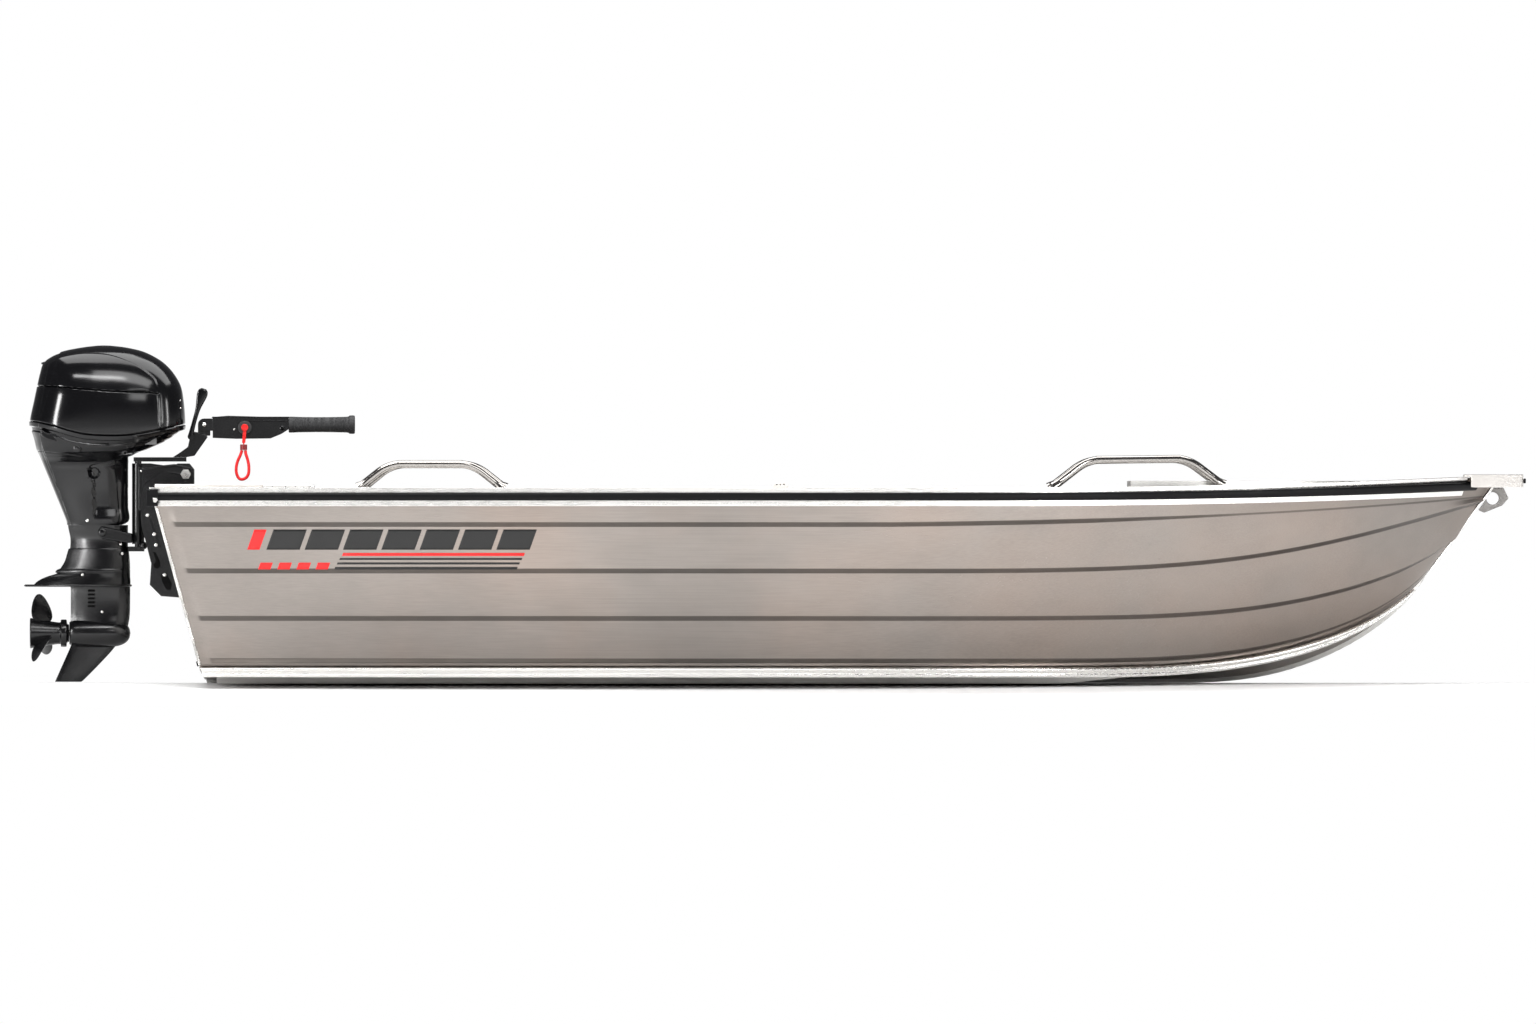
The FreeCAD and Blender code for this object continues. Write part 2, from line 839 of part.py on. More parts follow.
def transom_knee():
    """A gusset between the transom and the bottom plate."""
    y = knee_place
    floor = bottom_z(0, knee_place + knee_thickness) + plate + 2 * seat_gap
    aft = transom_x(floor) + 2 * seat_gap
    top = floor + knee_height
    points = [
        Vector(aft, y, floor),
        Vector(transom_x(top) + 2 * seat_gap, y, top),
        Vector(transom_x(top) + knee_length * knee_top_share, y, top),
        Vector(aft + knee_length, y, floor + knee_height * knee_tip_share),
        Vector(aft + knee_length, y, floor),
    ]
    return prism(points, Vector(0, knee_thickness, 0))


def drain_plug():
    z = drain_height + drain_radius
    start = Vector(transom_x(z), drain_place, z) + rake_shift(2 * seat_gap + transom_plate)
    end = start + rake_shift(drain_head)
    tip = end + rake_shift(drain_head)
    nut = rod(drain_nut_radius, end, tip, nut_sides)
    return rod(drain_radius, start, end, round_sides).fuse(nut)


def gunwale_end_cap():
    """A moulded block that closes the rub rail's aft end."""
    top, level, knuckle, face, run = sheer_frame(0)
    outer = top.y + gunwale_gap + gunwale_wall + skin_gap
    z0 = sheer_height - gunwale_flange
    z1 = sheer_height - end_cap_drop
    aft = transom_x(z1) - end_cap_length * end_cap_back_share
    side = rail_depth + skin_gap + end_cap_length * run.y / run.x
    shell = box(aft, aft + end_cap_length, outer - gunwale_web / 2, outer + side + end_cap_wall, z0, z1)
    back = (2 * seat_gap + transom_plate) * rake_length
    tool = [Vector(transom_x(z) - back, outer - gunwale_web, z) for z in (z0 - rail_height, z1 + rail_height)]
    reach = Vector(end_cap_length * 2, 0, 0)
    slab = prism([tool[0], tool[1], tool[1] + reach, tool[0] + reach], Vector(0, gunwale_web + side, 0))
    return shell.cut(slab)


def half_beam_at(x):
    """Half-beam of the sheer at a place along the hull."""
    low, high = 0.0, 1.0
    for _ in range(search_steps):
        mid = (low + high) / 2
        if sheer_point(mid).x < x:
            low = mid
        else:
            high = mid
    return sheer_point(low)


def bent_tube(points, bend, radius):
    """A tube along straight runs joined by arcs of one radius."""
    line = [points[0]]
    for before, corner, after in zip(points, points[1:], points[2:]):
        half = (before - corner).getAngle(after - corner) / 2
        line += arc_points(before, corner, after, bend / math.tan(half))
    return tube_along(line + [points[-1]], radius, tube_sides)


def grab_rail(ends, shoulder, height):
    """A bent tube handle with welded feet on the gunwale."""
    feet = []
    for x in ends:
        sheer = half_beam_at(x)
        feet.append(Vector(x, sheer.y - grab_inset, sheer.z + seat_gap))
    along = unit(feet[1] - feet[0])
    up = Vector(0, 0, height)
    sink = (along * shoulder + up) * (grab_foot_height / height)
    back = (along * -shoulder + up) * (grab_foot_height / height)
    high = [feet[0] + along * shoulder + up, feet[1] - along * shoulder + up]
    tube = bent_tube([feet[0] - sink] + high + [feet[1] - back], grab_bend, grab_tube_radius)
    for foot in feet:
        rise = Vector(0, 0, grab_foot_height)
        wide = tube_ring(grab_foot_radius, foot - rise, rise, round_sides)
        narrow = tube_ring(grab_tube_radius, foot + rise, rise, round_sides)
        tube = tube.fuse(loft([wide, narrow], True))
    return tube.cut(sheer_envelope())


def rowlock_block():
    sheer = half_beam_at(rowlock_x)
    y = sheer.y - gunwale_web / 2
    z = sheer.z + seat_gap
    block = box(rowlock_x - rowlock_length / 2, rowlock_x + rowlock_length / 2,
                y - rowlock_width / 2, y + rowlock_width / 2, z, z + rowlock_height)
    edges = [e for e in block.Edges if e.BoundBox.ZMin > z + rowlock_height / 2]
    block = block.makeChamfer(rowlock_corner, edges)
    bore = cylinder(rowlock_bore_radius, Vector(rowlock_x, y, z - rowlock_height),
                    Vector(rowlock_x, y, z + 2 * rowlock_height))
    return block.cut(bore)


def sheer_envelope():
    """The space up to the gunwales' top and the rails' sides, to seat the fittings on."""
    rings = []
    for s in station_shares:
        point = sheer_point(s)
        widening = 1 + lifted(s, sheer_lift_share, 1) / 2
        half = point.y + (rail_depth + gunwale_wall + 2 * gunwale_gap) * widening
        top = point.z + seat_gap
        low = point.z - bow_cap_depth * 3
        rings.append([Vector(point.x, half, top), Vector(point.x, half, low),
                      Vector(point.x, -half, low), Vector(point.x, -half, top)])
    return loft(rings)


def bow_cap():
    """A cast cap over the gunwales' fore ends, pointed in plan with a round nose."""
    aft = half_beam_at(bow_cap_x)
    half = aft.y + rail_depth + gunwale_wall + bow_cap_overhang
    nose_x = hull_length - bow_cap_nose_radius
    side = Vector(bow_cap_x, half, 0)
    reach = math.hypot(nose_x - bow_cap_x, half)
    turn = math.asin(bow_cap_nose_radius / reach) + math.atan2(half, nose_x - bow_cap_x)
    touch = Vector(nose_x + bow_cap_nose_radius * math.sin(turn), bow_cap_nose_radius * math.cos(turn), 0)
    tip = Vector(hull_length, 0, 0)
    flip = [mirrored_point(p) for p in (side, touch)]
    wire = Part.Wire([
        Part.makeLine(flip[0], side),
        Part.makeLine(side, touch),
        Part.Arc(touch, tip, flip[1]).toShape(),
        Part.makeLine(flip[1], flip[0]),
    ])
    body = Part.Face(wire).extrude(Vector(0, 0, bow_cap_depth))
    body.translate(Vector(0, 0, bow_cap_top - bow_cap_depth))
    return body.cut(sheer_envelope())


def bow_roller():
    z = bow_cap_top - bow_cap_depth / 2
    start = Vector(hull_length + seat_gap, 0, z)
    return rod(bow_roller_radius, start, Vector(front_end_x, 0, z), round_sides)


def stem_bar():
    """A flat bar down the seam of the side plates, from the bow cap to the keel."""
    z0 = chine_height + chine_rise - keel_depth
    z1 = bow_cap_top - bow_cap_depth - seat_gap
    points = []
    for out, levels in ((seat_gap, (z0, z1)), (seat_gap + stem_bar_depth, (z1, z0))):
        points += [Vector(stem_x(z) + out, -stem_bar_half_width, z) for z in levels]
    return prism(points, Vector(0, 2 * stem_bar_half_width, 0))


def towing_eye():
    """A forged eye on the stem bar, under the bow cap."""
    z1 = bow_cap_top - bow_cap_depth - seat_gap * 2
    z0 = z1 - eye_length * eye_root_share
    front = seat_gap * 2 + stem_bar_depth
    points = []
    for out, up in eye_outline_shares:
        z = z0 + (z1 - z0) * up
        points.append(Vector(stem_x(z) + front + eye_reach * out, -eye_thickness / 2, z))
    body = prism(points, Vector(0, eye_thickness, 0))
    out, up = eye_hole_shares
    centre = Vector(stem_x(z0) + front + eye_reach * out, -eye_thickness, z0 + (z1 - z0) * up)
    hole = rod(eye_hole_radius, centre, centre + Vector(0, 2 * eye_thickness, 0), round_sides)
    return body.cut(hole)


def thwart(x):
    """A seat folded from plate, with its fore and aft legs down to the bottom."""
    top = thwart_height
    outer = box(x, x + thwart_width, -beam / 2, beam / 2, ground, top)
    hollow = box(x + thwart_wall, x + thwart_width - thwart_wall, -beam, beam, -top, top - thwart_wall)
    return outer.cut(hollow).common(hull_room(2 * seat_gap))


def rib(x):
    """A pressed stiffener across the inside of the bottom plate."""
    share = (x - chine_point(0).x) / (stem_foot_x - chine_point(0).x)
    seat = plate + 2 * seat_gap
    half = chine_point(share).y * rib_reach_share
    low = bottom_z(share, 0) + seat
    side = bottom_z(share, half) + seat
    outline = (
        (0, low), (half, side), (half - rib_height, side + rib_height),
        (0, low + rib_height), (rib_height - half, side + rib_height), (-half, side),
    )
    return prism([Vector(x, y, z) for y, z in outline], Vector(rib_width, 0, 0))


def inside_gunwale(x, margin):
    """A level point inside the gunwale's web, a margin away from it."""
    low, high = 0.0, 1.0
    for _ in range(search_steps):
        mid = (low + high) / 2
        top, level, knuckle, face, run = sheer_frame(mid)
        point = top - level * (gunwale_web + margin)
        if point.x < x:
            low = mid
        else:
            high = mid
    return Vector(x, point.y, 0)


def deck_outline(x0, x1, margin):
    """Level outline inside the gunwales between two places along the hull."""
    run = (x1 - x0) / deck_spans
    return [inside_gunwale(x0 + run * i, margin) for i in range(deck_spans + 1)]


def deck_block(margin, x0, x1, z0, z1):
    port = deck_outline(x0, x1, margin)
    star = [mirrored_point(p) for p in port[::-1]]
    block = prism(port + star, Vector(0, 0, z1 - z0))
    block.translate(Vector(0, 0, z0))
    return block


def fore_deck():
    outer = deck_block(deck_gap, deck_x, deck_end_x, deck_top - deck_skirt, deck_top)
    inner = deck_block(deck_gap + deck_wall, deck_x + deck_wall, deck_end_x - deck_wall,
                       deck_top - 2 * deck_skirt, deck_top - deck_wall)
    return outer.cut(inner)


def fore_bulkhead():
    """The locker's aft wall, from the bottom plate up to the deck."""
    wall = box(deck_x + deck_wall + seat_gap, deck_x + 2 * deck_wall + seat_gap, -beam / 2, beam / 2,
               ground, deck_top - deck_wall - seat_gap)
    room = hull_room(2 * seat_gap)
    inside = deck_gap + deck_wall + skin_gap
    upper = deck_block(inside, deck_x, deck_x + deck_skirt, deck_top - deck_skirt - skin_gap, deck_top)
    below = box(deck_x, deck_x + deck_skirt, -beam, beam, ground, deck_top - deck_skirt - seat_gap)
    return wall.common(room.common(below).fuse(upper))


def quarter_plate():
    """A cast corner plate on the gunwale and the transom's top."""
    y = sheer_point(0).y - seat_gap
    z = sheer_height + skin_gap
    inner = y - quarter_width
    fore = quarter_x + quarter_length
    outline = (
        (quarter_aft_x, y), (fore, y), (fore, y - quarter_tip_width), (quarter_x + quarter_width / 3, inner),
        (quarter_aft_x, inner),
    )
    points = [Vector(across, along, z) for across, along in outline]
    return prism(points, Vector(0, 0, quarter_height))


def side_box():
    """A small locker hung on the gunwale's inner lip."""
    sheer = half_beam_at(side_box_x)
    outer = sheer.y - gunwale_web - seat_gap
    inner = outer - side_box_width
    z1 = sheer_height + quarter_height
    body = box(side_box_x, side_box_x + side_box_length, inner, outer, z1 - side_box_height, z1)
    edges = [e for e in body.Edges if e.BoundBox.ZMin > z1 - side_box_height / 2]
    return body.makeChamfer(rowlock_corner, edges)


def clamp_bracket():
    """Hooked plate over the transom: outer leg, head with the tilt tube's eye, and inner jaw."""
    y = clamp_inner
    back = (seat_gap * 4 + transom_plate + pad_outer_thickness) * rake_length
    over = stand_height + seat_gap

    def face(z):
        return transom_x(z + lift) - back

    jaw_aft = transom_x(clamp_jaw_bottom + lift) + pad_inner_thickness + 2 * cap_wall
    points = [
        (face(clamp_foot_z), clamp_foot_z), (face(over), over), (jaw_aft, over), (jaw_aft, clamp_jaw_bottom),
        (jaw_aft + clamp_jaw_depth, clamp_jaw_bottom),
    ]
    points += [(tilt_x + out, tilt_z + up) for out, up in clamp_lug_outline]
    points += [(face(over) + out, over + up) for out, up in clamp_shoulder_outline]
    points += [(face(clamp_foot_z) + out, clamp_foot_z + up) for out, up in clamp_foot_outline]
    solid = prism([Vector(x, y, z) for x, z in points], Vector(0, clamp_thickness, 0))
    bore = bore_for(tilt_tube_radius, Vector(tilt_x, 0, tilt_z), Vector(tilt_x, beam / 2, tilt_z))
    start, run = clamp_screw_axis()
    reach = run * clamp_screw_reach
    hole = bore_for(clamp_screw_radius, start - reach, start + reach * 2)
    return solid.cut(bore).cut(hole)


def clamp_screw_axis():
    """Where the clamp screw's pad meets the inner face of the transom pad, and its direction."""
    y = clamp_inner + clamp_thickness / 2
    z = clamp_screw_z
    start = Vector(transom_x(z + lift), y, z) + rake_shift(-2 * seat_gap - pad_inner_thickness)
    return start, Vector(1, 0, 0)


def clamp_screw():
    start, run = clamp_screw_axis()
    start = start + run * (clamp_pad_radius * transom_rake)
    pad = rod(clamp_pad_radius, start, start + run * clamp_pad_thickness, round_sides)
    end = start + run * clamp_screw_reach
    body = pad.fuse(rod(clamp_screw_radius, start, end, round_sides))
    half = Vector(0, clamp_handle_length / 2, 0)
    bar_at = end - run * clamp_handle_inset
    return body.fuse(rod(clamp_handle_radius, bar_at - half, bar_at + half, tube_sides))


def tilt_tube():
    """The tube that the motor tilts on, with a nut and a plain end at either side."""
    inner = clamp_inner + clamp_thickness + seat_gap
    ends = [Vector(tilt_x, y, tilt_z) for y in (inner, inner + tilt_nut_width, tilt_tube_length / 2)]
    nut = rod(tilt_nut_radius, ends[0], ends[1], nut_sides)
    side = nut.fuse(rod(tilt_tube_radius, ends[1], ends[2], round_sides))
    return cylinder(tilt_tube_radius, mirrored_point(ends[0]), ends[0]).fuse(side).fuse(mirrored(side))


def swivel_bracket():
    """Turns on the tilt tube and carries the steering pin in its upright tube."""
    half = clamp_inner - seat_gap * 2
    end = Vector(tilt_x, half, tilt_z)
    barrel = rod(swivel_barrel_radius, mirrored_point(end), end, round_sides)
    foot = Vector(swivel_x, 0, swivel_bottom)
    tube = rod(swivel_tube_radius, foot, Vector(swivel_x, 0, swivel_top), round_sides)
    aft = swivel_x + swivel_web_reach
    low = stand_height + clear_of_transom
    arm = [
        (tilt_x, tilt_z + swivel_barrel_radius), (tilt_x, tilt_z - swivel_barrel_radius),
        (swivel_x + swivel_knee, low), (aft, low - swivel_knee), (aft, swivel_top),
        (swivel_x + swivel_head, swivel_top),
    ]
    body = barrel.fuse(tube)
    for y in (-half, half - swivel_arm_thickness):
        body = body.fuse(prism([Vector(x, y, z) for x, z in arm], Vector(0, swivel_arm_thickness, 0)))
    body = body.fuse(box(aft, swivel_x + swivel_web_front, -half, half, low, swivel_top))
    foot_z = swivel_bottom + swivel_tube_radius
    rib_side = [
        (swivel_x, low), (swivel_x + swivel_rib_top, low),
        (swivel_x + swivel_rib_foot, foot_z), (swivel_x, foot_z),
    ]
    y = -swivel_web_thickness / 2
    body = body.fuse(prism([Vector(x, y, z) for x, z in rib_side], Vector(0, swivel_web_thickness, 0)))
    bore = cylinder(tilt_tube_radius + running_gap, mirrored_point(end), end)
    pin = bore_for(pivot_pin_radius, Vector(swivel_x, 0, ground), Vector(swivel_x, 0, hood_base_z))
    return body.cut(bore).cut(pin).removeSplitter()


def round_ring(rear, front, half, z):
    """A level ring of straight sides between an ellipse and a rectangle in plan."""
    centre = (rear + front) / 2
    reach = (front - rear) / 2
    points = []
    for i in range(section_sides):
        turn = 2 * math.pi * (i + 0.5) / section_sides
        cos, sin = math.cos(turn), math.sin(turn)
        x = centre + reach * math.copysign(abs(cos) ** section_squareness, cos)
        y = half * math.copysign(abs(sin) ** section_squareness, sin)
        points.append(Vector(x, y, z))
    return points


def hood_cover(wall):
    """The hood's level sections lofted, drawn in by a wall."""
    rings = []
    for up, rear, front, wide in hood_section_shares:
        inner_rear = hood_rear_x + rear * hood_length + wall
        inner_front = hood_rear_x + front * hood_length - wall
        half = max(wide * hood_half_width - wall, wall)
        rings.append(round_ring(inner_rear, inner_front, half, hood_base_z + up * (hood_height - wall)))
    return loft(rings, True)


def cowl_cover():
    """The lower cowl's level sections lofted, from the leg's size out to the hood's."""
    rings = []
    for up, rear, front, wide in cowl_section_shares[::-1]:
        rear_x = neck_rear_x + rear * (hood_rear_x - neck_rear_x)
        front_x = neck_front_x + front * (hood_front_x - neck_front_x)
        rings.append(round_ring(rear_x, front_x, wide * hood_half_width, cowl_base_z + up * cowl_height))
    return loft(rings, True)


def parting_side(shift, edge_z):
    """Everything on one side of the curved line where hood and cowl meet."""
    points = []
    for along, up in parting_shares:
        x = hood_rear_x + along * hood_length
        points.append(Vector(x, -hood_half_width * 2, hood_base_z + up * hood_height + shift))
    ends = [Vector(points[-1].x, points[-1].y, edge_z), Vector(points[0].x, points[0].y, edge_z)]
    return prism(points + ends, Vector(0, hood_half_width * 4, 0))


def hood():
    above = parting_side(parting_gap / 2, hood_base_z + hood_height * 2)
    return hood_cover(0).cut(hood_cover(hood_wall)).common(above)


def lower_cowl():
    below = parting_side(-parting_gap / 2, ground)
    room = powerhead_room(hood_wall, seat_gap, hood_height)
    return cowl_cover().common(below).cut(room)


def powerhead_room(side_gap, foot_gap, head_gap):
    """The engine's block, enlarged by a gap at the sides, foot and head."""
    length = hood_length * powerhead_shares[0]
    half = hood_half_width * 2 * powerhead_shares[1]
    height = hood_height * powerhead_shares[2]
    x = hood_rear_x + hood_length * powerhead_start_share
    z = hood_base_z - powerhead_drop
    wide = half + side_gap
    return box(x - side_gap, x + length + side_gap, -wide, wide, z - foot_gap, z + height + head_gap)


def powerhead():
    """The engine, as one plain block inside the covers."""
    return powerhead_room(0, 0, 0)


def lens_ring(rear, front, half, z):
    """A level streamlined section: round nose in front, fine tail aft."""
    port = [Vector(rear + (front - rear) * a, half * b, z) for a, b in lens_shares]
    return port + [mirrored_point(p) for p in port[-2::-1]]


def neck():
    """The leg's middle: exhaust housing from the lower cowl to the gearcase."""
    rings = []
    length = neck_front_x - neck_rear_x
    for down, rear, wide in neck_section_shares:
        z = cowl_base_z - seat_gap - (cowl_base_z - neck_bottom_z) * down
        rings.append(lens_ring(neck_rear_x + rear * length, neck_front_x, neck_half_width * wide, z))
    return loft(rings, True)


def gearcase():
    """Upper casing, anti-ventilation plate, strut, torpedo and skeg as one casting."""
    top = neck_bottom_z - seat_gap
    middle = plate_z + gear_shoulder_rise
    levels = (top, middle, plate_z)
    rings = []
    for z, (rear, half) in zip(levels, gear_top_sections):
        rings.append(lens_ring(rear, neck_front_x, half, z))
    body = loft(rings, True)
    plate_ring = lens_ring(plate_rear_x, plate_front_x, plate_half_width, plate_z)
    body = body.fuse(prism(plate_ring, Vector(0, 0, plate_thickness)))
    levels = (plate_z + plate_thickness, plate_z - torpedo_radius, shaft_z)
    rings = []
    for z, half in zip(levels, strut_half_widths):
        rings.append(lens_ring(strut_rear_x, strut_front_x, half, z))
    body = body.fuse(loft(rings, True))
    length = torpedo_nose_x - torpedo_rear_x
    points = [Vector(torpedo_rear_x + length * a, 0, shaft_z + torpedo_radius * b) for a, b in torpedo_shares]
    body = body.fuse(turned(points))
    y = -skeg_thickness / 2
    skeg = [
        Vector(skeg_root_x[0], y, shaft_z), Vector(skeg_root_x[0], y, shaft_z - torpedo_radius),
        Vector(skeg_foot_x[0], y, skeg_bottom),
        Vector(skeg_foot_x[1], y, skeg_bottom), Vector(skeg_root_x[1], y, shaft_z - skeg_front_drop),
        Vector(skeg_root_x[1], y, shaft_z),
    ]
    return body.fuse(prism(skeg, Vector(0, skeg_thickness, 0))).removeSplitter()


def turned(points):
    """A solid turned round the propeller shaft's line from a profile above it."""
    rear = Vector(points[0].x, 0, shaft_z)
    front = Vector(points[-1].x, 0, shaft_z)
    rings = [tube_ring(p.z - shaft_z, Vector(p.x, 0, shaft_z), front - rear, turned_sides) for p in points]
    return loft(rings, True)


def propeller():
    """Flared hub with three pitched blades, on the shaft's spline."""
    length = propeller_front_x - propeller_rear_x
    points = [Vector(propeller_rear_x + length * a, 0, shaft_z + b) for a, b in hub_outline]
    rear = Vector(propeller_rear_x, 0, shaft_z)
    front = Vector(propeller_front_x, 0, shaft_z)
    axis = Vector(1, 0, 0)
    hub = turned(points)
    mouth = rod(hub_mouth_radius, rear - axis * length, rear + axis * hub_mouth_depth, turned_sides)
    hub = hub.cut(mouth)
    blades = []
    for i in range(propeller_blades):
        blade = propeller_blade((propeller_rear_x + propeller_front_x) / 2)
        blade.rotate(rear, axis, 360 * i / propeller_blades + blade_start)
        blades.append(blade)
    hub = hub.multiFuse(blades)
    thrust = Vector(torpedo_rear_x - parting_gap, 0, shaft_z)
    spacer = rod(spacer_radius, front - axis * seat_gap, thrust, round_sides)
    bore = bore_for(shaft_radius, rear - axis * length, front + axis * length)
    return hub.fuse(spacer).cut(bore)


def propeller_blade(x):
    """One blade pointing up: twisted sections lofted from the hub to a round tip."""
    rings = []
    for out, wide, thick in blade_shares:
        radius = propeller_tip_radius * out
        twist = math.atan2(blade_pitch, radius)
        half = blade_width * wide / 2
        depth = blade_thickness * thick / 2
        ring = []
        for a, b in blade_section_shares:
            across = a * half
            through = b * depth
            dx = across * math.sin(twist) + through * math.cos(twist)
            dy = across * math.cos(twist) - through * math.sin(twist)
            ring.append(Vector(x + dx - radius * blade_rake_share, dy, shaft_z + radius))
        rings.append(ring)
    return loft(rings, True)


def propeller_shaft():
    """Shaft stub and end nut, fixed in the gearcase."""
    return cylinder(shaft_radius, Vector(propeller_rear_x + shaft_radius, 0, shaft_z),
                    Vector(torpedo_rear_x - seat_gap, 0, shaft_z))


def steering_bracket():
    """Steering pin, its arm forward to the tiller and the yoke that grips the leg."""
    low = yoke_z
    z = steer_arm_z
    pin = cylinder(pivot_pin_radius, Vector(swivel_x, 0, low), Vector(swivel_x, 0, z + steer_arm_thickness))
    half = steer_arm_width / 2
    arm = box(swivel_x - steer_arm_back, steer_arm_front_x, -half, half, z, z + steer_arm_thickness)
    yoke = box(neck_front_x + seat_gap, swivel_x + swivel_tube_radius, -half, half, low, low + yoke_thickness)
    return pin.fuse(arm).fuse(yoke)


def across_pivot(half):
    """Two points on the tiller's pivot line, a distance to either side."""
    return Vector(tiller_pivot_x, -half, tiller_pivot_z), Vector(tiller_pivot_x, half, tiller_pivot_z)


def tiller_bracket():
    """From the steering arm up past the hood's front to the tiller's pivot."""
    y = -bracket_width / 2
    top = steer_arm_z + steer_arm_thickness + seat_gap
    points = [(steer_arm_front_x + out, top + up) for out, up in bracket_foot_outline]
    points += [(tiller_pivot_x + out, tiller_pivot_z + up) for out, up in bracket_head_outline]
    body = prism([Vector(x, y, z) for x, z in points], Vector(0, bracket_width, 0))
    half = tiller_tongue / 2
    aft, fore = tiller_pivot_x - tiller_boss_radius, tiller_pivot_x + tiller_boss_radius
    tongue = box(aft, fore, -half, half, tiller_pivot_z - tongue_drop, tiller_pivot_z)
    boss = rod(tiller_boss_radius, *across_pivot(half), turned_sides)
    ring = rod(boss_clear_radius, *across_pivot(beam), turned_sides)
    bore = bore_for(tiller_pin_radius, *across_pivot(beam))
    return body.cut(ring).fuse(tongue).fuse(boss).cut(bore).removeSplitter()


def shift_lever():
    """Spoon-shaped gear lever on the starboard side of the tiller bracket."""
    y = -lever_place
    foot = Vector(lever_foot[0], y, lever_foot[1])
    top = Vector(lever_top[0], y, lever_top[1] - lever_top_radius)
    depth = Vector(0, -lever_thickness, 0)
    span = unit(top - foot)
    side = Vector(span.z, 0, -span.x)
    points = [
        foot + side * lever_neck, top + side * lever_top_radius,
        top - side * lever_top_radius, foot - side * lever_neck,
    ]
    body = prism(points, depth)
    body = body.fuse(rod(lever_top_radius, top, top + depth, round_sides))
    body = body.fuse(rod(lever_foot_radius, foot, foot + depth, round_sides))
    hub = Vector(foot.x, -bracket_width / 2 - seat_gap, foot.z)
    boss = rod(lever_boss_radius, foot, hub, tube_sides)
    return body.fuse(boss).removeSplitter()


def tiller_arm():
    """Tiller: clevis cheeks on the pivot, then the cast arm up to the grip."""
    half = arm_half_width
    inner = tiller_tongue / 2 + seat_gap
    boss_radius = tiller_boss_radius
    rear = tiller_pivot_x + cheek_length
    points = [(rear + out, z) for out, z in arm_rear_outline]
    points += [(grip_x + out, grip_z + up) for out, up in arm_fore_outline]
    points += [(rear + out, z) for out, z in arm_belly_outline]
    body = prism([Vector(x, -half, z) for x, z in points], Vector(0, 2 * half, 0))
    for side in (-1, 1):
        start, end = side * inner, side * (inner + tiller_cheek)
        across = [Vector(tiller_pivot_x, y, tiller_pivot_z) for y in (start, end)]
        boss = rod(boss_radius, *across, turned_sides)
        link = [
            (tiller_pivot_x, tiller_pivot_z + boss_radius), (rear + seat_gap, tiller_pivot_z + boss_radius),
            (rear + seat_gap, tiller_pivot_z - boss_radius), (tiller_pivot_x, tiller_pivot_z - boss_radius),
        ]
        cheek = prism([Vector(x, start, z) for x, z in link], Vector(0, end - start, 0))
        body = body.fuse(boss).fuse(cheek)
    pin = cylinder(tiller_pin_radius, *across_pivot(inner + tiller_cheek))
    return body.fuse(pin).removeSplitter()


def tiller_grip():
    start = Vector(grip_x + seat_gap, 0, grip_z)
    end = start + Vector(grip_length, 0, 0)
    flange = rod(grip_flange_radius, end, end + Vector(grip_flange, 0, 0), turned_sides)
    return rod(grip_radius, start, end, turned_sides).fuse(flange)


def stop_switch():
    """Engine stop switch with its button, on the starboard side of the tiller."""
    start = Vector(switch_x, -arm_half_width - seat_gap, switch_z)
    end = start - Vector(0, switch_reach, 0)
    return rod(switch_radius, start, end, turned_sides)


def stop_button():
    """Button and the clip that the lanyard hangs from."""
    start = Vector(switch_x, -arm_half_width - 2 * seat_gap - switch_reach, switch_z)
    end = start - Vector(0, button_reach, 0)
    return rod(button_radius, start, end, round_sides)


def lanyard_clip():
    """Flat clip under the stop button, with a neck down to the crimp."""
    y = -arm_half_width - 3 * seat_gap - switch_reach
    top = switch_z - button_radius - seat_gap
    low = top - clip_height
    crimp_top = switch_z - crimp_drop
    points = [
        Vector(switch_x - clip_width / 2, y, top), Vector(switch_x + clip_width / 2, y, top),
        Vector(crimp_x + clip_width / 2, y, low), Vector(crimp_x + clip_neck_width / 2, y, low),
        Vector(crimp_x + clip_neck_width / 2, y, crimp_top + seat_gap),
        Vector(crimp_x - clip_neck_width / 2, y, crimp_top + seat_gap),
        Vector(crimp_x - clip_neck_width / 2, y, low), Vector(crimp_x - clip_width / 2, y, low),
    ]
    return prism(points, Vector(0, -clip_thickness, 0))


def lanyard_crimp():
    """Sleeve that both ends of the lanyard go into."""
    y = lanyard_route[0][1]
    top = Vector(crimp_x, y, switch_z - crimp_drop)
    return rod(crimp_radius, top, top - Vector(0, 0, crimp_length), round_sides)


def lanyard():
    """The cord as straight runs joined by arcs as large as the runs allow."""
    points = [Vector(*p) for p in lanyard_route]
    line = [points[0]]
    for before, corner, after in zip(points, points[1:], points[2:]):
        cut = arc_run_share * min((before - corner).Length, (after - corner).Length)
        line += arc_points(before, corner, after, cut)
    return tube_along(line + [points[-1]], lanyard_radius, cord_sides)


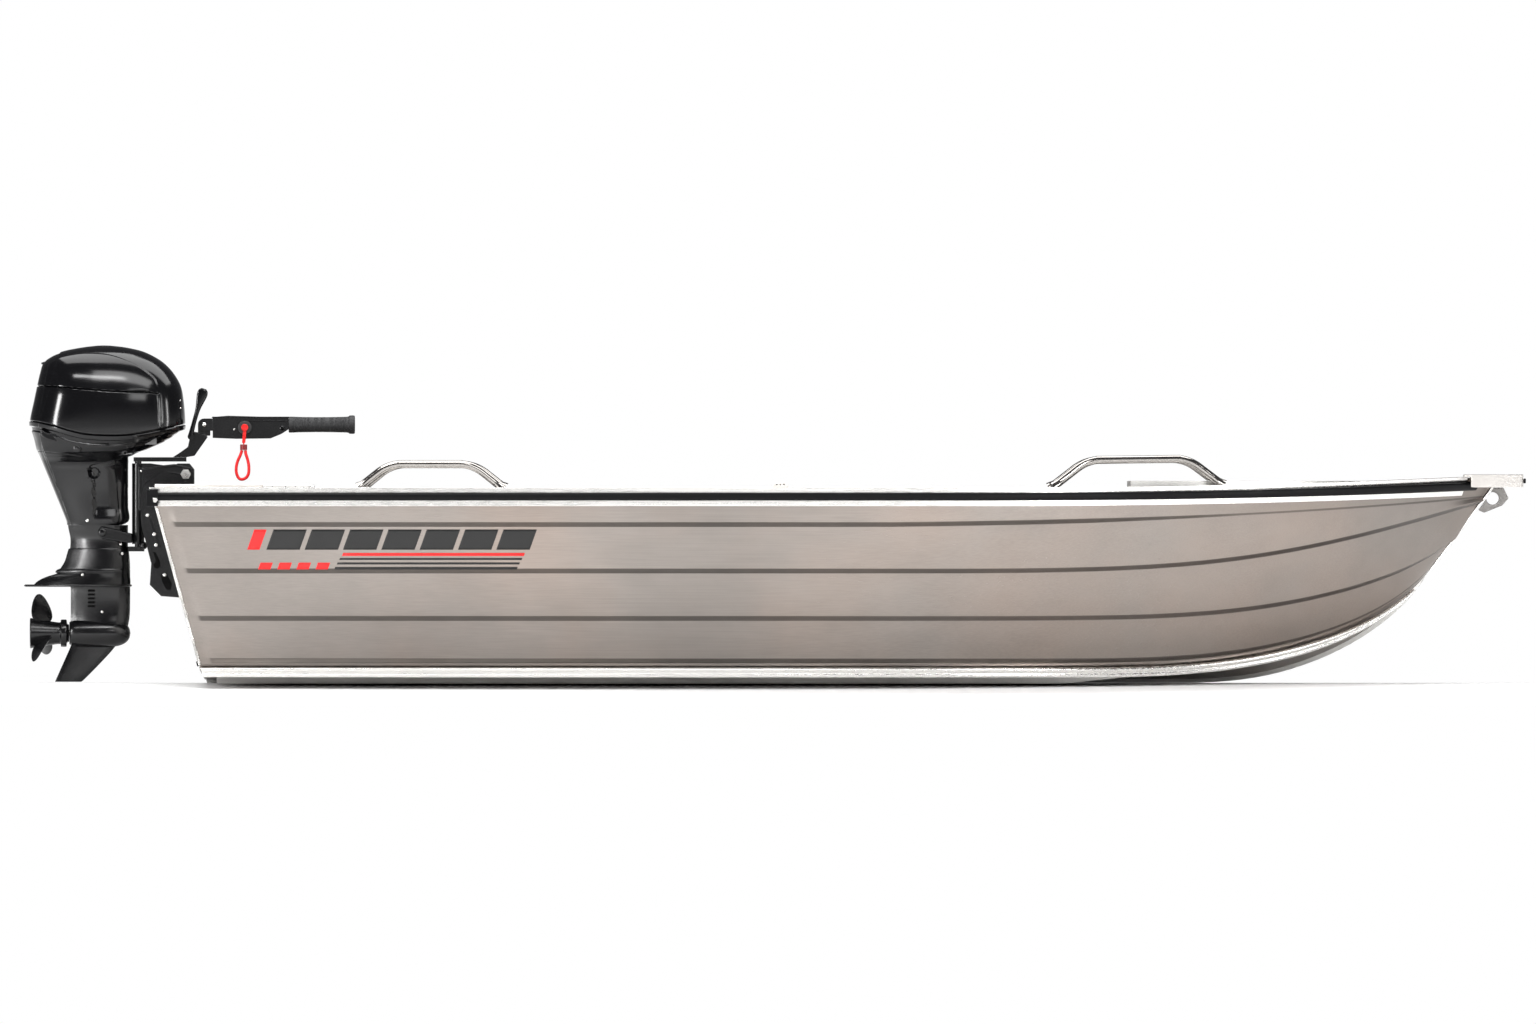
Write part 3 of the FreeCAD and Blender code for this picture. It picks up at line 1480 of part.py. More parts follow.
def build():
    side = side_plate()
    rail = along_sheer(rail_ring, rail_end_share)
    gunwale = along_sheer(gunwale_ring, gunwale_end_share)
    chine = chine_bar()
    runners = [bottom_runner(place) for place in runner_places]
    hull = {
        "side_plate_port": side,
        "side_plate_starboard": mirrored(side),
        "bottom_plate": bottom_plate(),
        "transom_plate": transom(),
        "transom_cap": transom_cap(),
        "transom_pads": transom_pads(),
        "transom_knees": both_sides(transom_knee()),
        "drain_plug": drain_plug(),
        "keel_bar": keel_bar(),
        "bottom_runners": Part.makeCompound(runners + [mirrored(runner) for runner in runners]),
        "chine_extrusions": both_sides(chine),
        "gunwale_port": gunwale,
        "gunwale_starboard": mirrored(gunwale),
        "rub_rail_port": rail,
        "rub_rail_starboard": mirrored(rail),
        "gunwale_end_caps": both_sides(gunwale_end_cap()),
        "grab_rails_aft": both_sides(grab_rail(aft_grab_x, aft_grab_shoulder, aft_grab_height)),
        "grab_rails_fore": both_sides(grab_rail(fore_grab_x, fore_grab_shoulder, fore_grab_height)),
        "rowlock_blocks": both_sides(rowlock_block()),
        "bow_cap": bow_cap(),
        "bow_buffer": bow_roller(),
        "stem_bar": stem_bar(),
        "towing_eye": towing_eye(),
        "aft_thwart": thwart(aft_thwart_x),
        "mid_thwart": thwart(mid_thwart_x),
        "bottom_ribs": Part.makeCompound([rib(x) for x in rib_places]),
        "fore_deck": fore_deck(),
        "fore_bulkhead": fore_bulkhead(),
        "quarter_plates": both_sides(quarter_plate()),
        "side_boxes": both_sides(side_box()),
    }
    motor = {
        "clamp_brackets": both_sides(clamp_bracket()),
        "clamp_screws": both_sides(clamp_screw()),
        "tilt_tube": tilt_tube(),
        "swivel_bracket": swivel_bracket(),
        "steering_bracket": steering_bracket(),
        "tiller_bracket": tiller_bracket(),
        "shift_lever": shift_lever(),
        "motor_hood": hood(),
        "lower_cowl": lower_cowl(),
        "powerhead": powerhead(),
        "motor_neck": neck(),
        "gearcase": gearcase(),
        "propeller_shaft": propeller_shaft(),
        "propeller": propeller(),
        "tiller_arm": tiller_arm(),
        "tiller_grip": tiller_grip(),
        "stop_switch": stop_switch(),
        "stop_button": stop_button(),
        "lanyard_clip": lanyard_clip(),
        "lanyard_crimp": lanyard_crimp(),
        "lanyard": lanyard(),
    }
    for piece in motor.values():
        piece.translate(Vector(0, 0, lift))
    return hull | motor


os.makedirs("parts", exist_ok=True)
for name, shape in build().items():
    shape.translate(Vector(-origin_x, 0, 0))
    shape.exportStep(os.path.join("parts", name + ".step"))
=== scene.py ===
import json
import math

import bmesh
import bpy
import numpy as np
from mathutils import Matrix


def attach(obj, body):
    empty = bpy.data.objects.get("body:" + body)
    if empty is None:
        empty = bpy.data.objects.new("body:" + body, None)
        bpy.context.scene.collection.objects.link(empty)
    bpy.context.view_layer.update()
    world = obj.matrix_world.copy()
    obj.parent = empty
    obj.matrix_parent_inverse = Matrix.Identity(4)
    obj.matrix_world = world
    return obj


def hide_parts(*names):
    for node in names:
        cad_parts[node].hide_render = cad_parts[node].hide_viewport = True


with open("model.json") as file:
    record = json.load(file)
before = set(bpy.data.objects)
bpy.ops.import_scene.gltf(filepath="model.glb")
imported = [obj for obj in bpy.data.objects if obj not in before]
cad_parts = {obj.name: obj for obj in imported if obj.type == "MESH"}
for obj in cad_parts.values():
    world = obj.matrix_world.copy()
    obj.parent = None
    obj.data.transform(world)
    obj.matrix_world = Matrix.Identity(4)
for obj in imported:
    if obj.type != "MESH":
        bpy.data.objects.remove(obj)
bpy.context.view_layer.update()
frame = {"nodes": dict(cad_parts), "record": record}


def placed(name, data):
    """A new object in the scene."""
    thing = bpy.data.objects.new(name, data)
    bpy.context.collection.objects.link(thing)
    return thing


# Camera. A level side view from far off, so that the motor on the centreline and the near side
# keep almost one scale. The picture is as wide as 4.964 m on the hull's near side.
view_distance = 150.0
near_side_y = -0.87
picture_width = 4.964
camera_height = 0.556
camera_x = -0.023
far_clip = 400
lens = bpy.data.cameras.new("camera")
lens.lens = lens.sensor_width * (view_distance + near_side_y) / picture_width
lens.clip_end = far_clip
camera = placed("camera", lens)
camera.location = (camera_x, -view_distance, camera_height)
camera.rotation_euler = (math.pi / 2, 0, 0)
bpy.context.scene.camera = camera


# Lanyard. A limp red wrist cord in a hanging loop, both ends crimped under the stop switch's clip.
# Its line is one smooth curve through the route's control points.
class Signal:
    """A socket of a material. Maths on it adds the Math nodes that work it out."""

    def __init__(self, finish, socket):
        self.finish, self.socket = finish, socket

    def maths(self, operation, *values):
        """A Math node on this value and others."""
        sockets = dict(enumerate((self,) + values))
        return self.finish.add("ShaderNodeMath", {"operation": operation}, sockets)

    def __add__(self, other):
        return self.maths("ADD", other)

    def __mul__(self, other):
        return self.maths("MULTIPLY", other)

    def __sub__(self, other):
        return self.maths("SUBTRACT", other)

    def __rsub__(self, other):
        return self * -1.0 + other

    __radd__ = __add__
    __rmul__ = __mul__

    def step(self, low, high, at_low=0.0, at_high=1.0):
        """A smooth ramp from at_low to at_high as the value goes from low to high."""
        ends = {0: self, 1: low, 2: high, 3: at_low, 4: at_high}
        return self.finish.add("ShaderNodeMapRange", {"interpolation_type": "SMOOTHSTEP"}, ends)


class Finish:
    """A material round one Principled shader. add() makes a node and gives its output back."""

    def __init__(self, name, **constants):
        self.material = bpy.data.materials.new(name)
        self.material.use_nodes = True
        self.tree = self.material.node_tree
        self.shader = self.tree.nodes["Principled BSDF"]
        self.set(**constants)

    def set(self, **sockets):
        """Sets or links sockets of the shader, named in lower case with underscores."""
        names = {s.name.lower().replace(" ", "_"): s for s in self.shader.inputs}
        for name, value in sockets.items():
            self.give(names[name], value)
        return self

    def give(self, socket, value):
        if isinstance(value, Signal):
            self.tree.links.new(value.socket, socket)
        else:
            socket.default_value = (*value, 1.0) if socket.type == "RGBA" and len(value) == 3 else value

    def add(self, kind, settings, sockets, output=0):
        node = self.tree.nodes.new(kind)
        for name, value in settings.items():
            setattr(node, name, value)
        for key, value in sockets.items():
            self.give(node.inputs[key], value)
        return Signal(self, node.outputs[output])

    def place(self, scale=(1, 1, 1)):
        """Object coordinates, stretched by a scale on each axis."""
        point = self.add("ShaderNodeTexCoord", {}, {}, 3)
        return self.add("ShaderNodeMapping", {}, {0: point, 3: scale})

    def axis(self, index):
        """One object coordinate, 0 for X to 2 for Z, in metres."""
        return self.add("ShaderNodeSeparateXYZ", {}, {0: self.place()}, index)

    def noise(self, scale, detail=3.0, stretch=(1, 1, 1)):
        return self.add("ShaderNodeTexNoise", {}, {0: self.place(stretch), "Scale": scale, "Detail": detail})

    def mix(self, factor, one, two):
        """A colour between two colours."""
        return self.add("ShaderNodeMix", {"data_type": "RGBA"}, {0: factor, 6: one, 7: two}, 2)

    def bump(self, height, distance, strength=1.0):
        """Raises the surface by a height signal times a distance in metres."""
        sockets = {"Height": height, "Distance": distance, "Strength": strength}
        return self.set(normal=self.add("ShaderNodeBump", {}, sockets))


def mesh_piece(name, body, vertices, faces, finish, replaces=(), slot=None, sharp=0.6):
    """A piece from a mesh whose place is in its vertices, smooth but for edges past an angle."""
    mesh = bpy.data.meshes.new(name)
    mesh.from_pydata(np.asarray(vertices, float).reshape(-1, 3).tolist(), [], faces)
    mesh.shade_smooth()
    mesh.set_sharp_from_angle(angle=sharp)
    return finished(placed(name, mesh), body, finish, replaces)


def modified(piece, name, kind, **settings):
    """Gives a piece a modifier with these settings."""
    modifier = piece.modifiers.new(name, kind)
    for key, value in settings.items():
        setattr(modifier, key, value)
    return piece


def finished(piece, body, finish, replaces=()):
    """Gives a piece its material, its body and the nodes that it stands for."""
    piece.data.materials.clear()
    piece.data.materials.append(finish.material)
    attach(piece, body)
    if replaces:
        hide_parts(*([replaces] if isinstance(replaces, str) else replaces))
    return piece


def grid_faces(rows, columns, round_columns=False, first=0):
    """Four-sided faces of a grid of points in row order, closed round its columns if asked."""
    r, c = np.meshgrid(np.arange(rows - 1), np.arange(columns - (not round_columns)), indexing="ij")
    after = (c + 1) % columns
    corners = (r * columns + c, r * columns + after, (r + 1) * columns + after, (r + 1) * columns + c)
    return (np.stack(corners, -1).reshape(-1, 4) + first).tolist()


def tube(name, body, path, radius, finish, sides=16, **more):
    """A round tube along a path of points: at each point a circle square to the path, capped."""
    path = np.asarray(path, float)
    along = np.gradient(path, axis=0)
    along /= np.linalg.norm(along, axis=1, keepdims=True)
    side = np.cross(along[0], (0.31, 0.82, 0.48))
    sides_at = []
    for run in along:
        side = side - run * side.dot(run)
        side /= np.linalg.norm(side)
        sides_at.append(side)
    side = np.array(sides_at)
    up = np.cross(along, side)
    turn = np.linspace(0, 2 * np.pi, sides, endpoint=False)
    radius = np.broadcast_to(radius, len(path))[:, None, None]
    ring = side[:, None] * np.cos(turn)[None, :, None] + up[:, None] * np.sin(turn)[None, :, None]
    points = path[:, None] + ring * radius
    return sweep(name, body, points, finish, **more)


def sweep(name, body, rings, finish, sharp=0.6, closed=False, **more):
    """A closed skin through rings of points, with a face over each end unless it closes on itself."""
    count, sides, _ = rings.shape
    faces = grid_faces(count + closed, sides, True)
    if closed:
        faces = [[i % (count * sides) for i in face] for face in faces]
    else:
        faces += [list(range(sides))[::-1], [(count - 1) * sides + i for i in range(sides)]]
    volume = signed_volume(rings.reshape(-1, 3), faces)
    if volume < 0:
        faces = [face[::-1] for face in faces]
    return mesh_piece(name, body, rings, faces, finish, sharp=sharp, **more)


def signed_volume(points, faces):
    """Six times the volume that faces enclose, positive where they point outwards."""
    fans = np.array([(f[0], f[i], f[i + 1]) for f in faces for i in range(1, len(f) - 1)])
    a, b, c = (points[fans[:, i]] for i in range(3))
    return np.einsum("ij,ij->i", a, np.cross(b, c)).sum()


def cord_line(name, points, radius):
    """A NURBS curve of order 3 whose control points are the route's points."""
    curve = bpy.data.curves.new(name, "CURVE")
    curve.dimensions = "3D"
    curve.resolution_u = 12
    curve.bevel_depth = radius
    curve.bevel_resolution = 5
    curve.use_fill_caps = True
    spline = curve.splines.new("NURBS")
    spline.points.add(len(points) - 1)
    spline.points.foreach_set("co", np.c_[points, np.ones(len(points))].astype(np.float32).ravel())
    spline.order_u = 3
    spline.use_endpoint_u = True
    return placed(name, curve)


route_origin_x = 2.0175
lanyard_radius = 0.005
lanyard_route = np.array((
    (285.0, -45.0, 757.0), (281.5, -45.0, 743.0), (272.5, -45.0, 726.0), (266.5, -45.0, 706.0),
    (266.0, -45.0, 686.0), (270.5, -45.0, 672.0), (276.5, -45.3, 663.5), (285.5, -45.8, 661.5),
    (295.0, -46.2, 664.5), (302.5, -46.5, 671.0), (307.0, -46.5, 682.0), (308.0, -46.5, 697.0),
    (306.5, -46.0, 715.0), (301.0, -45.5, 735.0), (296.5, -45.0, 747.0), (296.0, -45.0, 757.0),
)) / 1000 - (route_origin_x, 0, 0)
cord_red = Finish("red_braid", roughness=0.45, specular_ior_level=0.4)
weave = cord_red.noise(900.0, 2.0)
cord_red.set(base_color=cord_red.mix(weave, (0.78, 0.010, 0.012), (0.60, 0.004, 0.008))).bump(weave, 0.0004)
lanyard = cord_line("wrist_lanyard", lanyard_route, lanyard_radius)
finished(lanyard, "tiller", cord_red, "lanyard")

# Bottom plate. One sheet of marine alloy, folded along the keel into a shallow vee and drawn up to
# the stem. Its face is brushed by rolling and left bare.
beam = 1.78
sheer_height, sheer_rise = 0.635, 0.04
chine_height, chine_rise, chine_half_beam = 0.04, 0.335, 0.65
stem_foot_x, stem_half_width, stem_slope = 4.15, 0.01, 0.75
transom_rake = 0.27
plate, keel_depth = 0.003, 0.012
sheer_widest, sheer_narrowing, sheer_fullness = 0.42, 0.1, 3.2
chine_widest, chine_narrowing, chine_fullness = 0.38, 0.06, 2.6
chine_lift_share, chine_curve_share, chine_curve_power, tip_power = 0.7, 0.8, 3, 12
keel_lift_share, keel_curve_share, keel_curve_power = 0.79, 0.88, 2.5
gunwale_wall, gunwale_web, gunwale_lip, gunwale_flange = 0.003, 0.046, 0.024, 0.060
rail_height, rail_depth, rail_drop = 0.026, 0.016, 0.016
skin_gap, gunwale_gap = 0.0008, 0.0014


def lifted(s, start, power):
    """Zero up to the start, then a power curve that reaches one at the stem."""
    return (np.maximum(0, s - start) / (1 - start)) ** power


def fade(value, low, high):
    """Zero at low, one at high, and a smooth cubic between."""
    t = np.clip((value - low) / (high - low), 0, 1)
    return t * t * (3 - 2 * t)


def plan_share(s, widest, narrowing, fullness):
    """Half-beam as a share of the widest: a parabola aft of it, a power curve ahead of it."""
    aft = 1 - narrowing * ((widest - s) / widest) ** 2
    fore = 1 - (np.maximum(0, s - widest) / (1 - widest)) ** fullness
    return np.where(s < widest, aft, fore)


def transom_x(z):
    """The raked plane of the transom: it leans aft by the rake for each metre up."""
    return transom_rake * (sheer_height - z)


def stem_x(z):
    """The raked plane in which the side plates end at the stem."""
    return stem_foot_x + stem_slope * (z - chine_height - chine_rise)


def sheer_line(s, drop=0.0):
    """Points of the hull's upper edge, or of a line a drop below it, for shares s of the length."""
    outer = beam / 2 - rail_depth - skin_gap - gunwale_wall - gunwale_gap
    wide = plan_share(s, sheer_widest, sheer_narrowing, sheer_fullness)
    y = stem_half_width + (outer - stem_half_width) * wide
    z = sheer_height - drop + sheer_rise * lifted(s, 0.6, 2.2)
    aft, fore = transom_x(sheer_height - drop), stem_x(sheer_height - drop + sheer_rise)
    return np.stack((aft + s * (fore - aft), y, z), -1)


def chine_line(s):
    """Points of the edge where side and bottom meet."""
    wide = plan_share(s, chine_widest, chine_narrowing, chine_fullness)
    y = stem_half_width + (chine_half_beam - stem_half_width) * wide
    r = lifted(s, chine_lift_share, 1)
    climb = chine_curve_share * r ** chine_curve_power + (1 - chine_curve_share) * r ** tip_power
    z = chine_height + chine_rise * climb
    aft = transom_x(chine_height)
    return np.stack((aft + s * (stem_foot_x - aft), y, z), -1)


def keel_line(s, depth):
    """The keel's lower edge, level and then a steepening curve up the stem, moved in by a depth."""
    top = chine_height + chine_rise - keel_depth / 2
    r = lifted(s, keel_lift_share, 1)
    one, two, power = keel_curve_share, 1 - keel_curve_share, keel_curve_power
    z = top * (one * r ** power + two * r ** tip_power)
    aft = transom_x(0)
    length = stem_foot_x - aft
    rate = one * power * r ** (power - 1) + two * tip_power * r ** (tip_power - 1)
    slope = rate * top / ((1 - keel_lift_share) * length)
    steep = np.sqrt(1 + slope ** 2)
    return np.stack((aft + s * length - depth * slope / steep, 0 * s, z + depth / steep), -1)


def crease_line(s):
    """The bottom plate's fold on top of the keel bar."""
    line = keel_line(s, keel_depth)
    line[0, 0] = transom_x(line[0, 2])
    line[-1, 2] = chine_height + chine_rise - keel_depth
    line[-1, 0] = stem_x(line[-1, 2])
    return line


def to_row(points):
    """From the hull's origin at the transom to the frame's origin amidships."""
    return points - np.array((route_origin_x, 0, 0))


def millimetres(points):
    """Places in the frame from places in millimetres from the transom."""
    return to_row(np.array(points, float) / 1000)


def mirrored(points):
    """Points with their Y turned about."""
    return points * np.array((1, -1, 1))


def sheet_metal(name, points, thickness, finish, outward, **more):
    """A plate from a grid of points on its outer face, thickened inwards."""
    rows, columns, _ = points.shape
    faces = grid_faces(rows, columns)
    flat = points.reshape(-1, 3)
    middle = faces[len(faces) // 2]
    normal = np.cross(flat[middle[2]] - flat[middle[0]], flat[middle[3]] - flat[middle[1]])
    if normal.dot(outward) < 0:
        faces = [face[::-1] for face in faces]
    piece = mesh_piece(name, "root", points, faces, finish, **more)
    return modified(piece, "plate_thickness", "SOLIDIFY", thickness=thickness, offset=-1,
                    use_even_offset=True)


def brushed(name, colour, roughness, grain=0.00002, stain=0.12, warmth=0.0, painted_shade_depth=0.0):
    """Bare alloy: fine scratches along the hull, faint cloudy stains, a warm tint and patchy gloss.

    Where the mesh has the attribute strake_shade, painted shade darkens the metal there by up to the last
    argument, standing for the shade that falls on the strakes' downward-facing steps.
    """
    metal = Finish(name, metallic=1.0, anisotropic=0.5, anisotropic_rotation=0.25)
    scratch = metal.noise(1.0, 4.0, (3.0, 420.0, 420.0))
    cloud = metal.noise(1.6, 4.0, (0.7, 1.0, 1.0))
    fine = metal.noise(22.0, 5.0, (0.4, 1.0, 1.0))
    glow = metal.noise(2.2, 5.0, (0.8, 1.0, 0.7))
    shade = scratch.step(0.2, 0.8, 0.92, 1.05) * cloud.step(0.3, 0.7, 1 - stain, 1.0)
    shade = shade * fine.step(0.2, 0.8, 0.97, 1.02)
    warm = tuple(c * (1 + warmth * w) for c, w in zip(colour, (1.0, 0.35, 0.0)))
    tint = metal.mix(glow.step(0.35, 0.75), colour, warm)
    # Painted shade: the strake bands of the mesh are darkened, for the shade on the strakes' downward-facing
    # steps.
    painted_strake_shade = metal.add("ShaderNodeAttribute", {"attribute_name": "strake_shade"}, {}, 2)
    shade = shade * (1.0 - painted_strake_shade.step(0.3, 0.9) * painted_shade_depth)
    metal.set(base_color=metal.mix(shade, (0, 0, 0), tint))
    polish = scratch.step(0.2, 0.8, roughness - 0.05, roughness + 0.06)
    metal.set(roughness=polish + cloud.step(0.3, 0.7, 0.03, -0.02))
    return metal.bump(scratch, grain)


hull_alloy = brushed("brushed_hull_plate", (0.272, 0.246, 0.226), 0.33, stain=0.18, warmth=0.13, painted_shade_depth=0.46)
stations = np.r_[np.linspace(0, 0.02, 14), 1 - (1 - np.linspace(0.022, 1, 210)) ** 1.25]
chine, crease = chine_line(stations), crease_line(stations)
across = np.linspace(0, 1, 9)[:, None, None]
half_bottom = crease + (chine - crease) * across
bottom = np.concatenate((mirrored(half_bottom[:0:-1]), half_bottom))
sheet_metal("bottom_sheet", to_row(bottom), plate, hull_alloy, (0, 0, -1), replaces="bottom_plate",
            slot="hull_plate")

# Side plates. Each is one sheet of the same alloy, rolled to the flare and pressed with four lapped
# strakes that stiffen it. The strakes' downward-facing steps are darkened with painted shade.
strake_step, strake_height, strake_climb_start, faded_strake_share = 0.009, 0.020, 0.55, 0.35
strake_rows = (
    (0.067, 0.1, 3.4, 0.8, 0.97), (0.324, 0.4, 3.4, 1, 2),
    (0.611, 0.9, 3.4, 1, 2), (0.892, 0.965, 1.2, 0.7, 0.82),
)
strake_bends = (
    (-1.12, 0.0), (-1.0, 0.0), (-0.93, 0.015), (-0.82, 0.08),
    (0.82, 0.92), (0.93, 0.985), (1.0, 1.0), (1.12, 0.998),
)
hands = (("port", 1), ("starboard", -1))


def side_points(s):
    """Outer face of the port side: straight from chine to knuckle, with steps out at the strakes.

    Each row of the table gives a strake's height share amidships and at the bow, the power of its
    climb, and where it fades. It rises by a smooth step, and falls back straight to the next one.
    """
    base, knuckle = chine_line(s), sheer_line(s, gunwale_flange)
    top = sheer_line(s, gunwale_wall + gunwale_gap)
    rise = knuckle - base
    height = np.linalg.norm(rise, axis=1)
    out = np.cross(rise, np.gradient(base, axis=0))
    out /= np.linalg.norm(out, axis=1, keepdims=True)
    foot = (plate + skin_gap) / height
    aft_end = fade(s, 0.006, 0.013)
    centres, steps, halves = [], [], []
    for share, bow_share, power, fade_start, fade_end in strake_rows:
        deep = 1 - np.clip((s - fade_start) / (fade_end - fade_start), 0, 1)
        centres.append(share + (bow_share - share) * lifted(s, strake_climb_start, power))
        steps.append(strake_step * deep * aft_end)
        halves.append(strake_height / (2 * height) * (faded_strake_share + (1 - faded_strake_share) * deep))
    lines, bands = [(foot, 0 * s)], [0.0]
    for k, (centre, step, half) in enumerate(zip(centres, steps, halves)):
        for offset, share in strake_bends:
            lines.append((centre + half * offset, step * share))
            # A one marks the rows of each strake's step, where painted shade darkens the plate.
            bands.append(float(abs(offset) <= 1.0))
        upper = centres[k + 1] - halves[k + 1] if k + 1 < len(centres) else np.ones_like(s)
        for t in (0.15, 0.35, 0.6, 0.85):
            lines.append((centre + half * 1.2 + (upper - centre - half * 1.2) * t, step * 0.985 * (1 - t)))
            bands.append(0.0)
    lines.append((np.ones_like(s), 0 * s))
    rows = [base + rise * share[:, None] + out * lift[:, None] for share, lift in lines]
    rows += [knuckle + (top - knuckle) * t for t in (0.03, 0.5, 1.0)]
    bands += [0.0] * (len(rows) - len(bands))
    points = np.stack(rows)
    points[:, 0, 0] = transom_x(points[:, 0, 2])
    points[:, -1, 0] = stem_x(points[:, -1, 2])
    return points, np.outer(bands, aft_end)


port_side, strake_shade_bands = side_points(stations)
for word, side in hands:
    skin = to_row(port_side * (1, side, 1))
    sheet = sheet_metal(f"side_sheet_{word}", skin, plate, hull_alloy, (0, side, 0),
                        replaces=f"side_plate_{word}", slot="hull_plate", sharp=1.2)
    # The strake_shade attribute carries the painted shade of the strakes' steps to the hull's material.
    shade = sheet.data.attributes.new("strake_shade", "FLOAT", "POINT")
    shade.data.foreach_set("value", strake_shade_bands.ravel().astype(np.float32))

# Gunwales. A bright extruded angle caps each side plate, with its web level and its lip turned down.
# It is bent to the sheer and cut flush with the transom.
bright_alloy = brushed("bright_extrusion", (0.86, 0.845, 0.82), 0.28, 0.00001, 0.05)


def soften(rings, radius, steps=3):
    """Rounds each corner of rings of points with a quadratic curve that starts a radius before it."""
    before, after = np.roll(rings, 1, axis=1) - rings, np.roll(rings, -1, axis=1) - rings
    cut = [v * np.minimum(radius / np.linalg.norm(v, axis=2, keepdims=True), 0.45) for v in (before, after)]
    t = np.linspace(0, 1, steps + 1)[None, None, :, None]
    one, two, corner = ((rings + cut[0])[:, :, None], (rings + cut[1])[:, :, None], rings[:, :, None])
    curve = one * (1 - t) ** 2 + corner * 2 * t * (1 - t) + two * t ** 2
    return curve.reshape(rings.shape[0], -1, 3)


def unit(vectors):
    """Vectors divided by their lengths."""
    return vectors / np.linalg.norm(vectors, axis=-1, keepdims=True)


def sheer_frame(s):
    """Sheer and knuckle points, the outward level normal, the plate's normal and the run."""
    top, knuckle = sheer_line(s), sheer_line(s, gunwale_flange)
    run = sheer_line(np.minimum(1, s + 0.002)) - sheer_line(np.maximum(0, s - 0.002))
    level = unit(np.stack((-run[:, 1], run[:, 0], 0 * s), -1))
    return top, level, knuckle, unit(np.cross(top - knuckle, run)), unit(run)


def along_sheer(name, section, end_share, finish, side, radius, **more):
    """A bar along the sheer: section gives its corner points, cut flush with the transom."""
    s = stations * end_share
    top, level, knuckle, face, run = sheer_frame(s)
    rings = np.stack(section(top, level, knuckle, face), 1)
    rings = soften(rings, radius)
    rings[0, :, 0] = transom_x(rings[0, :, 2])
    rings[-1] -= ((rings[-1] - top[-1]) @ run[-1])[:, None] * run[-1]
    rings = to_row(rings if side > 0 else mirrored(rings))
    return flat_faced(sweep(name, "root", rings, finish, sharp=1.2, **more))


def flat_faced(piece):
    """Shades the broad faces flat and only the small rounded edges round."""
    return modified(piece, "flat_faces", "WEIGHTED_NORMAL", keep_sharp=True)


def gunwale_section(top, level, knuckle, face):
    """Flange down the plate's outside, web level inwards, and a lip down: walls of one thickness."""
    up, outer = np.array((0, 0, 1.0)), gunwale_gap + gunwale_wall
    inner = top - level * (gunwale_web - gunwale_wall)
    return (
        top + level * outer, knuckle + face * outer, knuckle + face * gunwale_gap,
        top + level * gunwale_gap - up * gunwale_wall, inner - up * gunwale_wall, inner - up * gunwale_lip,
        top - level * gunwale_web - up * gunwale_lip, top - level * gunwale_web,
    )


gunwale_end_share, gunwale_edge, rail_end_share, rail_edge = 0.975, 0.0011, 0.982, 0.004
for word, side in hands:
    along_sheer(f"gunwale_bar_{word}", gunwale_section, gunwale_end_share, bright_alloy, side, gunwale_edge,
                replaces=f"gunwale_{word}", slot="bright_extrusion")

# Rub rails. Black rubber of D section, pushed into a track on the gunwales' outer flanges. They end
# at the bow, under the cap.
def coat(name, scale, rough, one, two=None, detail=3.0, stretch=(1, 1, 1), relief=0.0, **constants):
    """A finish whose colour, gloss and relief wander together with one noise of a scale."""
    finish = Finish(name, **constants)
    spots = finish.noise(scale, detail, stretch)
    finish.set(base_color=finish.mix(spots, one, two) if two else one)
    finish.set(roughness=spots.step(0.3, 0.7, *rough))
    return finish.bump(spots, relief) if relief else finish


rail_rubber = coat("black_rail_rubber", 30.0, (0.34, 0.50), (0.003, 0.003, 0.0035), detail=4.0,
                   stretch=(0.2, 1, 1), relief=0.0004, specular_ior_level=0.12)


def rail_section(top, level, knuckle, face):
    """A D on its side: flat on the flange, full at the middle."""
    low, high = (rail_drop + rail_height) / gunwale_flange, rail_drop / gunwale_flange
    points = []
    for out, down in ((0, 0), (0.5, 0.0), (0.8, 0.09), (1, 0.34), (1, 0.66), (0.8, 0.91), (0.5, 1), (0, 1)):
        share = high + (low - high) * down
        normal = unit(level * (1 - share) + face * share)
        depth = gunwale_gap + gunwale_wall + skin_gap + rail_depth * out
        points.append(top + (knuckle - top) * share + normal * depth)
    return points


for word, side in hands:
    along_sheer(f"rub_strip_{word}", rail_section, rail_end_share, rail_rubber, side, rail_edge,
                replaces=f"rub_rail_{word}", slot="black_rubber")

# Chine extrusions. Bright alloy bars with two ridges, bent along the seam of side and bottom and
# riveted over it. They taper towards the stem.
chine_bar_height, chine_bar_depth, chine_bar_groove, chine_bar_gap = 0.032, 0.013, 0.004, 0.003
chine_bar_end_share, chine_bar_taper_share, chine_bar_edge = 0.984, 0.9, 0.0014


def chine_bars():
    """Rings along the port chine: the bar's section, square to the side plate, shrinks to the stem."""
    s = stations[stations < chine_bar_end_share]
    base, knuckle = chine_line(s), sheer_line(s, gunwale_flange)
    up = unit(knuckle - base)
    out = unit(np.cross(knuckle - base, np.gradient(base, axis=0)))
    half, deep, groove = chine_bar_height / 2, chine_bar_depth, chine_bar_groove
    section = (
        (0, -half), (deep * 0.8, -half), (deep, -half * 0.8), (deep, -half * 0.35),
        (deep - groove, -half * 0.15), (deep - groove, half * 0.15),
        (deep, half * 0.35), (deep, half * 0.8), (deep * 0.8, half), (0, half),
    )
    taper = (1 - 0.5 * lifted(s, chine_bar_taper_share, 1))[:, None]
    rings = np.stack([base + out * (chine_bar_gap + a * taper) + up * (b * taper) for a, b in section], 1)
    rings = soften(rings, chine_bar_edge)
    rings[0, :, 0] = transom_x(rings[0, :, 2])
    return rings


for word, side in hands:
    flat_faced(sweep(f"chine_bar_{word}", "root", to_row(chine_bars() * (1, side, 1)), bright_alloy,
                     replaces="chine_extrusions", slot="bright_extrusion", sharp=1.2))

